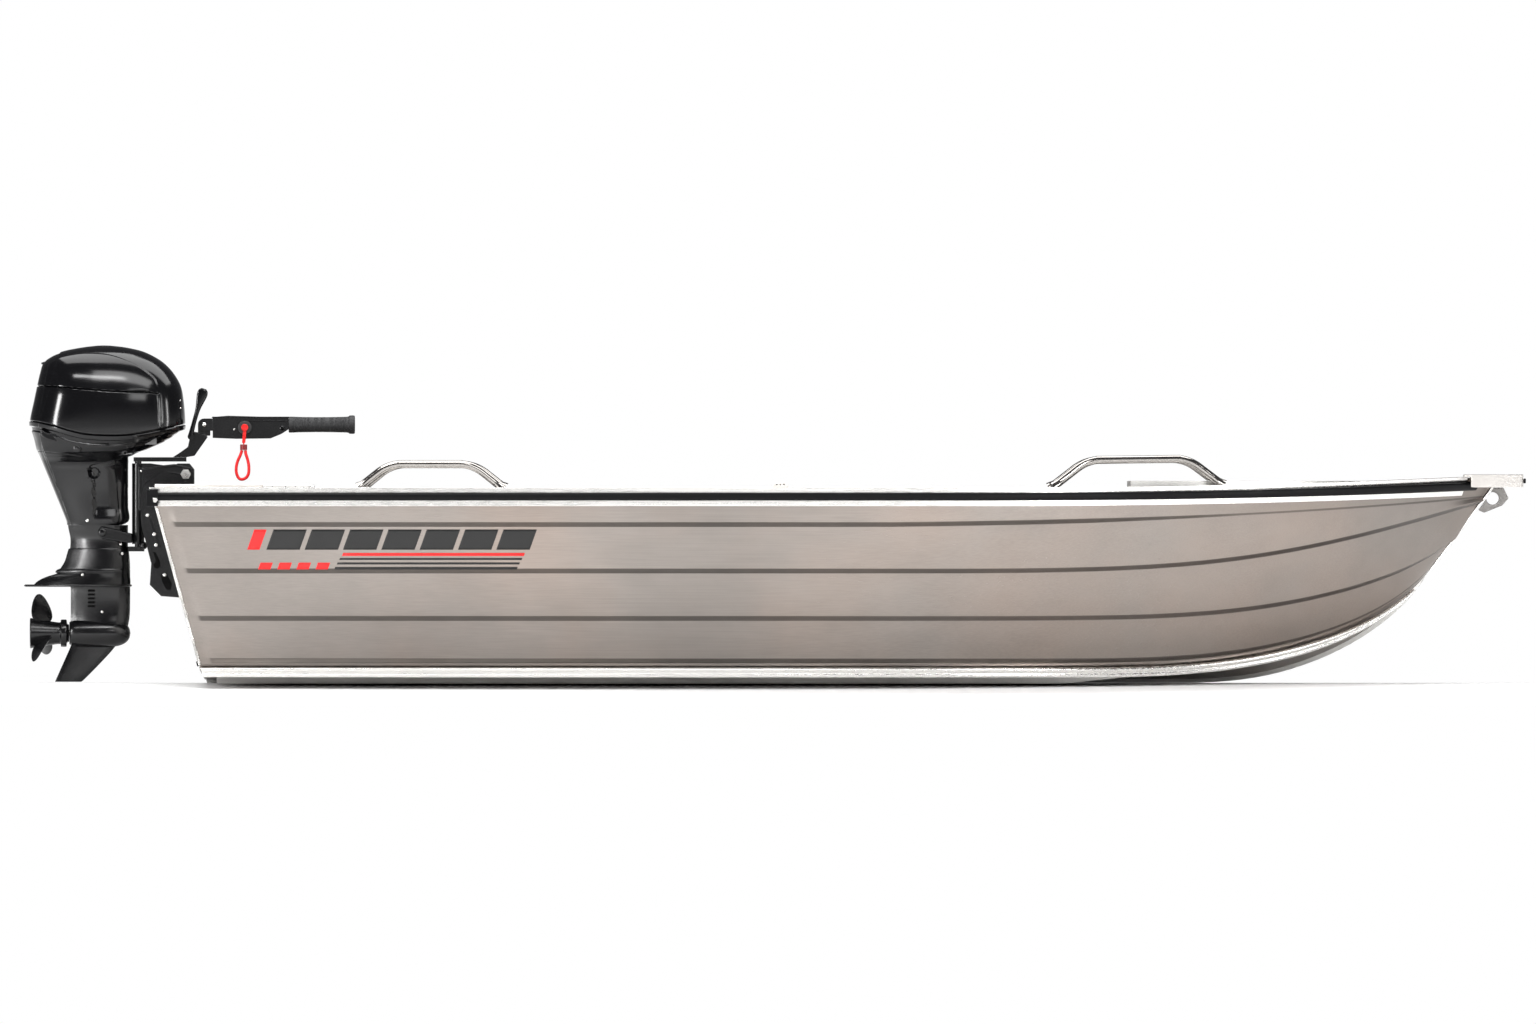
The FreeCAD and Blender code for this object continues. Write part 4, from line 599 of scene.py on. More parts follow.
# Flat and folded parts. Benches, ribs, bulkhead and deck are folded plate, and the bow cap, corner
# plates and rowlock blocks are sand castings. They keep the solids' shape, with their edges broken.
inner_alloy = brushed("inner_plate", (0.60, 0.59, 0.57), 0.42)
cast_alloy = Finish("cast_alloy", metallic=1.0)
sand = cast_alloy.noise(160.0, 5.0)
tone = cast_alloy.noise(9.0, 3.0)
cast_alloy.set(base_color=cast_alloy.mix(tone, (0.80, 0.76, 0.71), (0.92, 0.89, 0.86)),
               roughness=sand.step(0.3, 0.7, 0.30, 0.46)).bump(sand, 0.0003)


bevel_settings = {"segments": 2, "limit_method": "ANGLE", "harden_normals": True}


def dressed(node, finish, bevel):
    """A copy of a node with its loose triangles joined to flat faces and its edges rounded."""
    mesh = frame["nodes"][node].data.copy()
    work = bmesh.new()
    work.from_mesh(mesh)
    bmesh.ops.remove_doubles(work, verts=work.verts, dist=0.00002)
    bmesh.ops.dissolve_limit(work, angle_limit=0.02, verts=work.verts, edges=work.edges)
    work.to_mesh(mesh)
    work.free()
    mesh.shade_smooth()
    mesh.set_sharp_from_angle(angle=0.7)
    piece = placed(node + "_piece", mesh)
    modified(piece, "broken_edges", "BEVEL", width=bevel, angle_limit=0.6, **bevel_settings)
    body = next(b for b, nodes in frame["record"]["behaviour"]["bodies"].items() if node in nodes)
    return finished(piece, body, finish, node)


def slab(name, body, outline, low_y, high_y, finish, bevel=0.001, **more):
    """A flat casting from a side outline of places along and up, and two places across, in millimetres."""
    x, z = np.array(outline, float).T
    count = len(x)
    sides = [np.stack((x, np.full(count, y), z), -1) for y in (low_y, high_y)]
    vertices = millimetres(np.concatenate(sides))
    faces = [list(range(count)), list(range(count, 2 * count))[::-1]]
    faces += [[i, i + count, (i + 1) % count + count, (i + 1) % count] for i in range(count)]
    if signed_volume(vertices, faces) < 0:
        faces = [face[::-1] for face in faces]
    piece = mesh_piece(name, body, vertices, faces, finish, **more)
    return modified(piece, "broken_edges", "BEVEL", width=bevel, **bevel_settings)


def slabs(name, body, outline, near_y, far_y, finish, bevel=0.001, **more):
    """The same flat casting on both sides of the centreline."""
    slab(name + "_port", body, outline, near_y, far_y, finish, bevel, **more)
    slab(name + "_starboard", body, outline, -far_y, -near_y, finish, bevel, **more)


def heads(name, body, places, radius, finish, axes=None, rise=0.5, **more):
    """Low round heads of screws and rivets, each a cap of a ball at a place in millimetres.

    A head looks along its axis, or away from the centreline where none is given.
    """
    places = np.array(places, float)
    axes = np.sign(places[:, 1:2]) * (0, 1.0, 0) if axes is None else unit(np.asarray(axes, float))
    side = unit(np.cross(axes, (0.31, 0.05, 0.95)))
    up = np.cross(axes, side)
    high = np.radians((0, 0, 30, 55, 75))[:, None]
    lift = np.sin(high) * rise + np.array((-0.4, 0, 0, 0, 0))[:, None]
    turn = np.linspace(0, 2 * np.pi, 12, endpoint=False)[None]
    wide = np.cos(high)
    vertices, faces = [], []
    for place, axis, one, two in zip(places, axes, side, up):
        flat = (wide * np.cos(turn))[..., None] * one + (wide * np.sin(turn))[..., None] * two
        rings = place + radius * (flat + lift[..., None] * axis)
        start = sum(len(v) for v in vertices)
        skin = grid_faces(5, 12, True) + [list(range(12))[::-1], list(range(48, 60))]
        flip = signed_volume(rings.reshape(-1, 3), skin) < 0
        faces += [[i + start for i in (face[::-1] if flip else face)] for face in skin]
        vertices.append(rings.reshape(-1, 3))
    return mesh_piece(name, body, millimetres(np.concatenate(vertices)), faces, finish, sharp=1.0, **more)


def both_sides(places):
    """The places and their mirror images across the centreline."""
    return [(x, y * side, z) for side in (1, -1) for x, y, z in places]


for node in ("transom_plate", "keel_bar", "bottom_runners", "transom_knees", "aft_thwart", "mid_thwart",
             "bottom_ribs", "fore_bulkhead", "fore_deck", "side_boxes", "transom_pads"):
    dressed(node, inner_alloy, 0.0012)
for node in ("transom_cap", "stem_bar"):
    dressed(node, bright_alloy, 0.0008)
for node in ("bow_cap", "quarter_plates", "rowlock_blocks"):
    dressed(node, cast_alloy, 0.0015)
for node, bevel in (("gunwale_end_caps", 0.0015), ("bow_buffer", 0.002), ("drain_plug", 0.001)):
    dressed(node, rail_rubber, bevel)

# Rivets, welds and slots. Heads along the chine bars and under the rub rails, a rippled bead where
# each side plate meets the transom, and the small openings of the rowlock blocks and boxes, which are
# near-black discs and strips of painted shade.
rivet_shares = np.linspace(0.012, 0.955, 52)
base, knuckle = chine_line(rivet_shares), sheer_line(rivet_shares, gunwale_flange)
out = unit(np.cross(knuckle - base, np.gradient(base, axis=0)))
low_row = base + unit(knuckle - base) * chine_bar_height * 0.29 + out * (chine_bar_gap + chine_bar_depth)
top, level, knuckle, face, run = sheer_frame(np.linspace(0.012, 0.94, 44))
high_row = top + (knuckle - top) * 0.86 + face * (gunwale_gap + gunwale_wall)
for name, spots, axes, radius in (("chine_rivets", low_row, out, 3.4), ("rail_rivets", high_row, face, 2.6)):
    spots, axes = (np.concatenate((v, mirrored(v))) for v in (spots * 1000, axes))
    heads(name, "root", spots, radius, bright_alloy, axes, 0.55)


def side_y(x, z):
    """Half-beam of the port side's skin for rows of places along it, each row at one height."""
    result = np.empty_like(x)
    columns = port_side.swapaxes(0, 1)
    for row, height in enumerate(z[:, 0]):
        line = [[np.interp(height, column[:, 2], column[:, k]) for column in columns] for k in (0, 1)]
        result[row] = np.interp(x[row], *line)
    return result


bead_z = np.linspace(0.062, 0.568, 400)
bead = np.stack((transom_x(bead_z), np.interp(bead_z, port_side[:, 0, 2], port_side[:, 0, 1]), bead_z), -1)
bead_ripple_length, bead_wave_length = 0.0085, 0.071
bead_ripple, bead_wave = (np.sin(bead_z * 2 * np.pi / run) for run in (bead_ripple_length, bead_wave_length))
bead_radius = 0.0046 + 0.0012 * bead_ripple + 0.0006 * bead_wave
for word, side in hands:
    tube(f"transom_weld_{word}", "root", to_row(bead * (1, side, 1)), bead_radius, bright_alloy, 8, sharp=1.5)
# Painted shade: a dull near-black finish laid where holes, slots and gaps stand, for the shade inside them.
recess_shade = coat("dark_recess", 200.0, (0.6, 0.9), (0.0012, 0.0012, 0.0012), detail=2.0, specular_ior_level=0.1)
# The rowlock holes and the boxes' seams are near-black discs and strips of painted shade.
holes = [(x, y, 645.0) for x in (2023, 2034.5, 2046) for y in (-866.0, 866.0)]
heads("rowlock_holes", "root", holes, 2.3, recess_shade, rise=0.1)
for number, x in enumerate((391, 433, 465)):
    line = ((x, 636), (x + 1.6, 636), (x + 1.6, 645.2), (x, 645.2))
    slabs(f"box_seam_{number + 1}", "root", line, 764, 767.6, recess_shade, 0.0002)
clip_outline = ((5, 602), (19, 601), (20, 592), (15, 586), (8, 588))
slabs("corner_cap_clip", "root", clip_outline, 811, 814.4, bright_alloy, 0.001)

# Side markings. Plain slanted bars and stripes with no letters or signs in them, cut from thin vinyl
# film and laid on the side plates.
vinyl_black = Finish("vinyl_black", base_color=(0.006, 0.006, 0.006), specular_ior_level=0.4)
vinyl_red = Finish("vinyl_red", specular_ior_level=0.4)
grime = vinyl_red.noise(12.0, 3.0)
vinyl_red.set(base_color=vinyl_red.mix(grime, (0.62, 0.006, 0.006), (0.72, 0.010, 0.010)))
for film_finish in (vinyl_black, vinyl_red):
    gloss_spots = film_finish.noise(25.0, 3.0)
    film_finish.set(roughness=gloss_spots.step(0.3, 0.7, 0.30, 0.42))
markings = [(617, 588, 413.7, 423.4, vinyl_red), (608, 590, 400.8, 407.2, vinyl_black),
            (600, 590, 386.2, 392.7, vinyl_black), (592, 590, 370.0, 378.0, vinyl_black),
            (310, 40, 434.0, 499.0, vinyl_red)]
markings += [(372 + 124 * i, 108, 434.0, 499.0, vinyl_black) for i in range(7)]
markings += [(345 + 62 * i, 40, 370.0, 392.0, vinyl_red) for i in range(4)]
slant, film_gap, film_thickness = 0.36, 0.0011, 0.0004
for number, (x, length, low, high, film_finish) in enumerate(markings):
    z = np.linspace(low, high, 9)[:, None] / 1000
    x = (x + np.linspace(0, length, 25)[None]) / 1000 + (z - low / 1000) * slant
    z = z + 0 * x
    for word, side in hands:
        skin = to_row(np.stack((x, (side_y(x, z) + film_gap) * side, z), -1))
        sheet_metal(f"marking_{number + 1}_{word}", skin, film_thickness, film_finish, (0, side, 0))

# Towing eye. A thick loop of grey metal, darker than the castings round it, fixed through the stem
# under the bow cap.
forged = coat("forged_grey_steel", 80.0, (0.30, 0.44), (0.13, 0.125, 0.12), (0.24, 0.23, 0.22), 4.0,
              metallic=1.0)
dressed("towing_eye", forged, 0.002)

# Motor cover. Two gloss-black mouldings that meet at a curved seam: the hood, with a raised side
# panel under an arched crest, and the lower cowl that narrows down to the leg.
gloss = Finish("gloss_black_cover", base_color=(0.0025, 0.0025, 0.003), specular_ior_level=0.34)
film = gloss.noise(5.0, 3.0)
peel = gloss.noise(260.0, 2.0)
gloss.set(roughness=film.step(0.3, 0.7, 0.11, 0.16)).bump(peel, 0.00002)

casting = Finish("black_casting_coat", base_color=(0.0035, 0.0035, 0.004), specular_ior_level=0.38)
sand = casting.noise(420.0, 3.0)
wear = casting.noise(14.0, 4.0)
casting.set(roughness=wear.step(0.3, 0.7, 0.17, 0.27)).bump(sand, 0.00008)

hood_front_x, hood_length = 0.1002, 0.5087
hood_rear_x = hood_front_x - hood_length
hood_base_z, hood_height, hood_half_width = 0.800, 0.297, 0.165
cowl_base_z, cowl_height = 0.514, 0.339
neck_rear_x, neck_front_x = -0.281, -0.086
hood_rows = (
    (0.0, 0.0, 0.994, 0.98), (0.178, 0.001, 1.0, 1.0), (0.397, 0.027, 0.99, 0.985),
    (0.559, 0.047, 0.971, 0.93), (0.7, 0.066, 0.924, 0.84), (0.81, 0.088, 0.863, 0.72),
    (0.886, 0.142, 0.794, 0.58),
    (0.941, 0.225, 0.72, 0.43), (0.981, 0.346, 0.616, 0.25), (1.0, 0.44, 0.52, 0.08),
)
cowl_rows = (
    (0.0, 0.05, -0.112, 0.32), (0.056, 0.086, 0.027, 0.34), (0.333, 0.386, 0.044, 0.38),
    (0.524, 0.597, 0.046, 0.43), (0.6, 0.679, 0.05, 0.47), (0.66, 0.747, 0.07, 0.64),
    (0.72, 0.824, 0.29, 0.8), (0.82, 0.889, 0.7, 0.91), (0.91, 0.96, 0.959, 0.97), (1.0, 0.99, 0.984, 0.99),
)
seam_line = (
    (-0.1, 0.18), (0.0, 0.172), (0.079, 0.155), (0.17, 0.118), (0.27, 0.068), (0.371, 0.032), (0.5, 0.018),
    (0.625, 0.022), (0.74, 0.045), (0.8475, 0.08), (0.95, 0.12), (1.1, 0.17),
)


def through(rows, steps=24):
    """A Catmull-Rom curve through the rows of a table: a cubic between each two, with shared slopes."""
    rows = np.asarray(rows, float)
    rows = np.vstack((2 * rows[0] - rows[1], rows, 2 * rows[-1] - rows[-2]))
    a, b, c, d = (rows[i:len(rows) - 3 + i, None] for i in range(4))
    t = np.linspace(0, 1, steps, endpoint=False)[None, :, None]
    square, cube = 2 * a - 5 * b + 4 * c - d, 3 * b - a - 3 * c + d
    curve = 0.5 * (2 * b + (c - a) * t + square * t ** 2 + cube * t ** 3)
    return np.vstack((curve.reshape(-1, rows.shape[1]), rows[-2]))


def rounded_section(rear, front, half, turn, power=0.72):
    """A level ring between an ellipse and a rectangle: sine and cosine, each to a power."""
    cos, sin = np.cos(turn), np.sin(turn)
    x = (rear + front) / 2 + (front - rear) / 2 * np.sign(cos) * np.abs(cos) ** power
    return x, half * np.sign(sin) * np.abs(sin) ** power


def on_curve(rows, at, column=1):
    """A column of a table, read off the curve through its rows at places in its first column."""
    curve = through(rows)
    return np.interp(at, curve[:, 0], curve[:, column])


def cover_at(rows, level, turn, rear_run, front_run, base_z, height):
    """A cover's level section: the table's shares of the runs of its rear and front, and its width."""
    rear, front, wide = (on_curve(rows, level, i) for i in (1, 2, 3))
    x, y = rounded_section(rear_run[0] + rear * rear_run[1], front_run[0] + front * front_run[1],
                           wide * hood_half_width, turn)
    return np.stack((x, y, base_z + level * height), -1)


def hood_at(level, turn):
    """The hood's level section, in shares of the hood's length."""
    run = (hood_rear_x, hood_length)
    return cover_at(hood_rows, level, turn, run, run, hood_base_z, hood_height)


def cowl_at(level, turn):
    """The lower cowl's level section, in shares of the way from the neck to the hood's ends."""
    rear, front = (neck_rear_x, hood_rear_x - neck_rear_x), (neck_front_x, hood_front_x - neck_front_x)
    return cover_at(cowl_rows, level, turn, rear, front, cowl_base_z, cowl_height)


def seam_z(x):
    """Height of the seam between the covers, a curve through its table along the hood."""
    return hood_base_z + hood_height * on_curve(seam_line, (x - hood_rear_x) / hood_length)


def seam_level(surface, base, height, turn):
    """The level at which each column of a cover meets the seam, found by repeated trial."""
    level = np.full_like(turn, 0.5)
    for _ in range(30):
        level = (seam_z(surface(level, turn)[:, 0]) - base) / height
    return level


def outward(points):
    """Unit normals of a grid of points whose columns run round it."""
    round_it = np.roll(points, -1, axis=1) - np.roll(points, 1, axis=1)
    normal = np.cross(round_it, np.gradient(points, axis=0))
    return unit(normal + 1e-12)


turn = np.linspace(0, 2 * np.pi, 300, endpoint=False)
rise = np.linspace(0, 1, 200)[:, None]
foot_level = seam_level(hood_at, hood_base_z, hood_height, turn) + 0.0015
hood_points = hood_at(foot_level + (0.9999 - foot_level) * rise, turn + 0 * rise)
crest = (
    (-0.36, 1.035), (-0.310, 1.057), (-0.268, 1.067), (-0.226, 1.072), (-0.178, 1.071), (-0.136, 1.065),
    (-0.094, 1.051), (-0.050, 1.031), (-0.0065, 0.998), (0.018, 0.971), (0.026, 0.945))
groove = (
    (-0.42, 0.967), (-0.3335, 0.9638), (-0.1367, 0.9483), (-0.0323, 0.9457), (0.0149, 0.9379), (0.06, 0.930))
x, z = hood_points[..., 0], hood_points[..., 2]
side_turn = np.abs(np.arctan2(np.sin(turn), np.cos(turn)))[None, :]
side_panel = fade(side_turn, 0.92, 0.97) * fade(-side_turn, -2.60, -2.555)
groove_z, crest_z = on_curve(groove, x), on_curve(crest, x)
upper_panel = fade(crest_z - z, 0.0, 0.004) * fade(z - groove_z, 0.0, 0.003)
upper_panel = upper_panel * fade(-x, -0.026, -0.018) * side_panel
lower_panel = fade(groove_z - z, 0.0, 0.003) * side_panel
slot_width = 0.0017 + 0.0022 * fade(x, -0.12, -0.03) * fade(-x, 0.018, 0.026)
slot = np.exp(-((z - groove_z) / slot_width) ** 2) * fade(-x, -0.02, 0.02)
edge_round = 0.004 * np.clip(1 - rise * 60, 0, 1) ** 2
rear_crease = ((0.790, -0.372), (0.851, -0.370), (0.964, -0.336), (1.057, -0.310), (1.12, -0.29))
channel = fade(on_curve(rear_crease, z) - x, 0.0, 0.0035)
lift = 0.0030 * upper_panel + 0.0016 * lower_panel - 0.0050 * slot - edge_round - 0.0032 * channel
hood_points = hood_points + outward(hood_points) * lift[..., None]
centre = hood_points[-1].mean(0)
crown_shares, crown_rise = np.array((0.75, 0.45, 0.15))[:, None, None], 0.0006
crown = centre + (hood_points[-1] - centre) * crown_shares + (0, 0, crown_rise) * (1 - crown_shares)
hood_points = np.concatenate((hood_points, crown))
sweep("hood_moulding", "motor", to_row(hood_points), gloss, replaces="motor_hood", slot="gloss_black")

rise = np.linspace(0, 1, 220)[:, None] ** 0.8
top_level = seam_level(cowl_at, cowl_base_z, cowl_height, turn) - 0.0015
cowl_points = cowl_at(top_level * rise, turn + 0 * rise)
below = seam_z(cowl_points[..., 0]) - cowl_points[..., 2]
band = fade(below, 0.0, 0.003) * fade(-below, -0.018, -0.014)
ledge = fade(below, 0.014, 0.020) * fade(-below, -0.034, -0.030)
panel = side_panel * fade(below, 0.030, 0.036)
x, z = cowl_points[..., 0], cowl_points[..., 2]
cowl_crease = (
    (0.50, -0.266), (0.533, -0.276), (0.679, -0.327), (0.756, -0.357), (0.798, -0.368), (0.86, -0.372))
channel = fade(on_curve(cowl_crease, z) - x, 0.0, 0.0035)
brow = ((-0.24, 0.690), (-0.2146, 0.698), (-0.2036, 0.7094), (-0.1926, 0.7127), (-0.1348, 0.7253),
        (-0.050, 0.7434), (0.058, 0.769), (0.12, 0.785))
brow_z = on_curve(brow, x)
arch_x = np.interp(z, (0.514, 0.660, 0.698, 0.72), (-0.199, -0.201, -0.215, -0.215))
arch = fade(x - arch_x, 0.0, 0.010) * fade(brow_z - z, 0.0, 0.004) * fade(z, 0.530, 0.575)
eye = fade(-np.hypot(x + 0.1945, z - 0.682), -0.0185, -0.0145)
cheek = fade(x, -0.096, -0.090) * fade(-x, -0.036, -0.030)
cheek = cheek * fade(below, 0.036, 0.040) * fade(z - brow_z, 0.008, 0.012)
parting = np.interp(x, (-0.40, -0.357, -0.279, -0.180), (0.753, 0.7515, 0.745, 0.730))
seam = np.exp(-((z - parting) / 0.0013) ** 2) * fade(-x, 0.172, 0.178)
lift = 0.0042 * band - 0.0030 * ledge + 0.0016 * panel - 0.0032 * channel - 0.0075 * arch - 0.013 * eye \
    + 0.0022 * cheek - 0.0016 * seam
cowl_points = cowl_points + outward(cowl_points) * lift[..., None]
sweep("lower_cowl_moulding", "motor", to_row(cowl_points), gloss, replaces="lower_cowl", slot="gloss_black")


def skin_y(points, place):
    """How far out a cover's skin is at a place along and up, in millimetres."""
    far = np.hypot(points[..., 0] - place[0] / 1000, points[..., 2] - place[1] / 1000) + (points[..., 1] < 0)
    return points.reshape(-1, 3)[far.argmin()][1] * 1000


def on_skin(points, places, sink=0.0):
    """The places on both sides of a cover's skin, sunk into it by a depth."""
    return both_sides([(x, skin_y(points, (x, z)) - sink, z) for x, z in places])


bright_screw = coat("bright_screw_head", 300.0, (0.16, 0.30), (0.72, 0.71, 0.69), detail=2.0, metallic=1.0)
cowl_lock = ((-247.6, 764.4),)
heads("cowl_lock_ring", "motor", on_skin(cowl_points, cowl_lock, 1.0), 15.5, gloss, rise=0.22)
heads("cowl_lock_core", "motor", on_skin(cowl_points, cowl_lock, -1.5), 8.0, casting, rise=0.35)
heads("cowl_screws", "motor", on_skin(cowl_points, ((-217.5, 528.4),), 0.5), 6.0, bright_screw)
heads("hood_studs", "motor", on_skin(hood_points, ((84.0, 917.9), (85.6, 893.3)), 0.5), 3.0, bright_screw)
latch_y = skin_y(cowl_points, (-335, 800))
latch_outline = ((-371, 826), (-345, 813), (-310, 811), (-308, 797), (-314, 782), (-348, 792), (-366, 804))
slabs("cowl_latch", "motor", latch_outline, latch_y - 22, latch_y + 4.5, gloss, 0.004)
# The vent slot is a near-black slab of painted shade on the cowl.
slot_y = skin_y(cowl_points, (-170, 779))
slot_outline = ((-199, 781), (-147, 775), (-145, 779.5), (-199, 785))
slabs("vent_slot", "motor", slot_outline, slot_y - 6, slot_y + 1.2, recess_shade, 0.0005)
hook_line = millimetres(((-330, 0, 1043), (-345, 0, 1041.5), (-358, 0, 1040), (-367.5, 0, 1038.5)))
tube("hood_pull_hook", "motor", hook_line, np.array((0.0075, 0.006, 0.0045, 0.0028)), gloss, 12)

# Leg. Alloy castings bolted end to end and painted black: exhaust housing, anti-ventilation plate,
# strut, bullet and skeg, with the water intake cut in the strut drawn as dark slots of painted shade.
lens_profile = through((
    (0, 0.12), (0.12, 0.38), (0.3, 0.7), (0.55, 0.97), (0.75, 0.95), (0.88, 0.78), (0.96, 0.45), (1, 0)), 6)


def lens_rings(rows, steps=10):
    """Level sections with a round nose and a fine tail, through rows of height, tail, nose and half-width."""
    rows = through(np.array(rows) / 1000, steps)
    share, wide = lens_profile.T
    x = rows[:, 1:2] + (rows[:, 2:3] - rows[:, 1:2]) * share
    y = rows[:, 3:4] * np.maximum(wide, 0)
    z = np.broadcast_to(rows[:, :1], x.shape)
    port, star = np.stack((x, y, z), -1), np.stack((x, -y, z), -1)
    return to_row(np.concatenate((port, star[:, -2::-1]), 1))


for name, node, steps, rows in (
        ("exhaust_housing", "motor_neck", 10, (
            (513.7, -281, -86, 50), (500, -279, -86, 47), (470, -273, -86, 42), (439, -274, -86, 43),
            (436, -279, -84, 47), (420, -284, -82, 49), (395, -292, -80, 51), (371.7, -306, -79, 52.5))),
        ("gearcase_top", "gearcase", 10, (
            (371.7, -309, -80, 52.5), (367, -318, -79, 55), (360, -322, -79, 55), (356, -318, -79, 53),
            (345, -352, -79, 53), (333, -377, -78, 54), (320, -392, -78, 56))),
        ("anti_ventilation_plate", "gearcase", 6, (
            (313, -418, -77, 89), (314.5, -422, -74, 91.5), (318, -423, -73, 92), (320.5, -419, -75, 90))),
        ("gearcase_strut", "gearcase", 10, (
            (318, -275, -79, 37), (308, -272, -79, 31), (270, -272, -79, 27.5), (225, -272, -80, 28.5),
            (195, -272, -84, 33), (165, -270, -92, 32)))):
    sweep(name, "motor", lens_rings(rows, steps), casting, replaces=node, slot="black_casting")

shaft_z = 0.162
around = np.linspace(0, 2 * np.pi, 72, endpoint=False)


def turned(profile, steps=8):
    """Rings of a profile, given as places along the propeller shaft and radii, turned round it."""
    x, radius = through(np.array(profile) / 1000, steps).T
    radius = np.maximum(radius, 0.0001)[:, None]
    y, z = radius * np.cos(around), shaft_z + radius * np.sin(around)
    return to_row(np.stack((np.broadcast_to(x[:, None], y.shape), y, z), -1))


sweep("gearcase_bullet", "motor", turned((
    (-276, 34), (-275, 37), (-262, 42), (-230, 45), (-187, 46), (-150, 45.5), (-120, 42), (-100, 35),
    (-88, 26), (-81, 15), (-78, 1))), casting, replaces="gearcase", slot="black_casting")


def blade_slab(outline, thick_top, thick_foot):
    """A fin from its side outline, rear and front x for each height, with sharp tapered edges."""
    z, rear, front = (through(np.array(outline) / 1000, 8)[:, i:i + 1] for i in range(3))
    share = np.array((0, 0.06, 0.2, 0.5, 0.8, 0.94, 1.0))
    wide = np.array((0.15, 0.6, 0.95, 1.0, 0.95, 0.6, 0.15))
    grade = (z - z[-1]) / (z[0] - z[-1])
    half = (thick_foot + (thick_top - thick_foot) * grade) / 2000
    x = rear + (front - rear) * share
    port = np.stack((x, half * wide, np.broadcast_to(z, x.shape)), -1)
    return to_row(np.concatenate((port, mirrored(port)[:, ::-1]), 1))


sweep("skeg", "motor", blade_slab(((130, -270, -120), (118, -273, -128), (90, -285, -152), (50, -303, -190),
                                   (12, -320, -228), (4, -323, -238)), 12, 7), casting, replaces="gearcase",
      slot="black_casting")

# The intake's slots are thin near-black slabs of painted shade on the strut.
slot_rows = ((-216.5, -195), (-216.5, -195), (-216, -194.5), (-216, -194.5), (-215.5, -194))
for level, (x0, x1) in enumerate(slot_rows):
    z = 247 + level * 12.5
    outline = ((x0, z), (x1, z), (x1, z + 6), (x0, z + 6))
    slabs(f"intake_slot_{level + 1}", "motor", outline, 24, 28.9, recess_shade, 0.0003)
leg_screws = ((-170, 28.0, 231.5), (-233, 52.5, 352), (-115, 45.0, 492), (-109, 45.5, 452), (-104, 50, 421))
heads("leg_screws", "motor", both_sides(leg_screws), 5.0, bright_screw)
slabs("mount_cover", "motor", (
    (-176, 506), (-165, 507), (-72, 486), (-72, 456), (-82, 455), (-168, 469), (-180, 478), (-183, 495)),
    40, 58, casting, 0.004)
heads("mount_cover_ends", "motor", both_sides(((-168, 58, 490),)), 13.5, gloss, rise=0.25)
heads("mount_balls", "motor", both_sides(((-36, 38, 447),)), 13.0, casting, rise=1.0)
link_line = millimetres(((-36, -40, 447), (-36, 0, 447), (-36, 40, 447)))
tube("mount_link", "motor", link_line, 0.008, casting, 12)

# Propeller. Three blades on a flared hub that the exhaust leaves through, cast in one piece of
# alloy and painted black.
hub_front, hub_rear = -0.306, -0.404
sweep("propeller_hub", "propeller", turned((
    (-404, 40), (-404.5, 46), (-402, 49.5), (-396, 48.5), (-370, 43.5), (-335, 38.5), (-307, 35.5),
    (-304, 43), (-300, 44.5), (-288, 44.5), (-285, 42), (-283, 31), (-277.5, 28))), casting,
    replaces="propeller", slot="black_casting")
# The hub's bore is closed by a near-black plug of painted shade.
sweep("hub_mouth", "propeller", turned(((-404.6, 38), (-402, 36), (-380, 32), (-378, 12), (-378, 1))), recess_shade,
      slot="black_casting")
propeller_tip, blade_chord, blade_pitch, blade_thickness = 0.128, 0.052, 0.070, 0.0035
blade_angles = (8, 128, 248)


def propeller_blade(angle):
    """A helicoid from the hub out, its chord full at three quarters of the radius and round at the tip.

    Across the chord a point turns and moves along the shaft in step, by the pitch. The thickness is
    an arch over the chord, and thins towards the tip.
    """
    out = np.linspace(0.26, 1.0, 40)[:, None]
    chord = np.linspace(-1, 1, 25)[None, :]
    radius = propeller_tip * out
    wide = blade_chord * np.sqrt(np.clip(1 - ((out - 0.62) / 0.385) ** 2, 0, 1)) * (0.75 + 0.25 * out)
    along = chord * wide
    pitch = np.arctan2(blade_pitch, radius)
    thick = blade_thickness * (1.15 - out) * np.sqrt(np.clip(1 - chord ** 2, 0, 1)) + 0.0004
    x0 = (hub_rear + hub_front) / 2 - radius * 0.12 - 0.010 * (out - 0.3)
    faces = []
    for side in (1, -1):
        dx = along * np.sin(pitch) + side * thick * np.cos(pitch)
        across = along * np.cos(pitch) - side * thick * np.sin(pitch)
        swing = across / radius
        faces.append(np.stack((x0 + dx, radius * np.sin(swing), radius * np.cos(swing) + 0 * chord), -1))
    rings = np.concatenate((faces[0], faces[1][:, ::-1]), 1)
    cos, sin = math.cos(math.radians(angle)), math.sin(math.radians(angle))
    y, z = rings[..., 1] * cos - rings[..., 2] * sin, rings[..., 1] * sin + rings[..., 2] * cos
    return to_row(np.stack((rings[..., 0], y, shaft_z + z), -1))


for number, angle in enumerate(blade_angles):
    sweep(f"propeller_blade_{number + 1}", "propeller", propeller_blade(angle), casting, slot="black_casting")

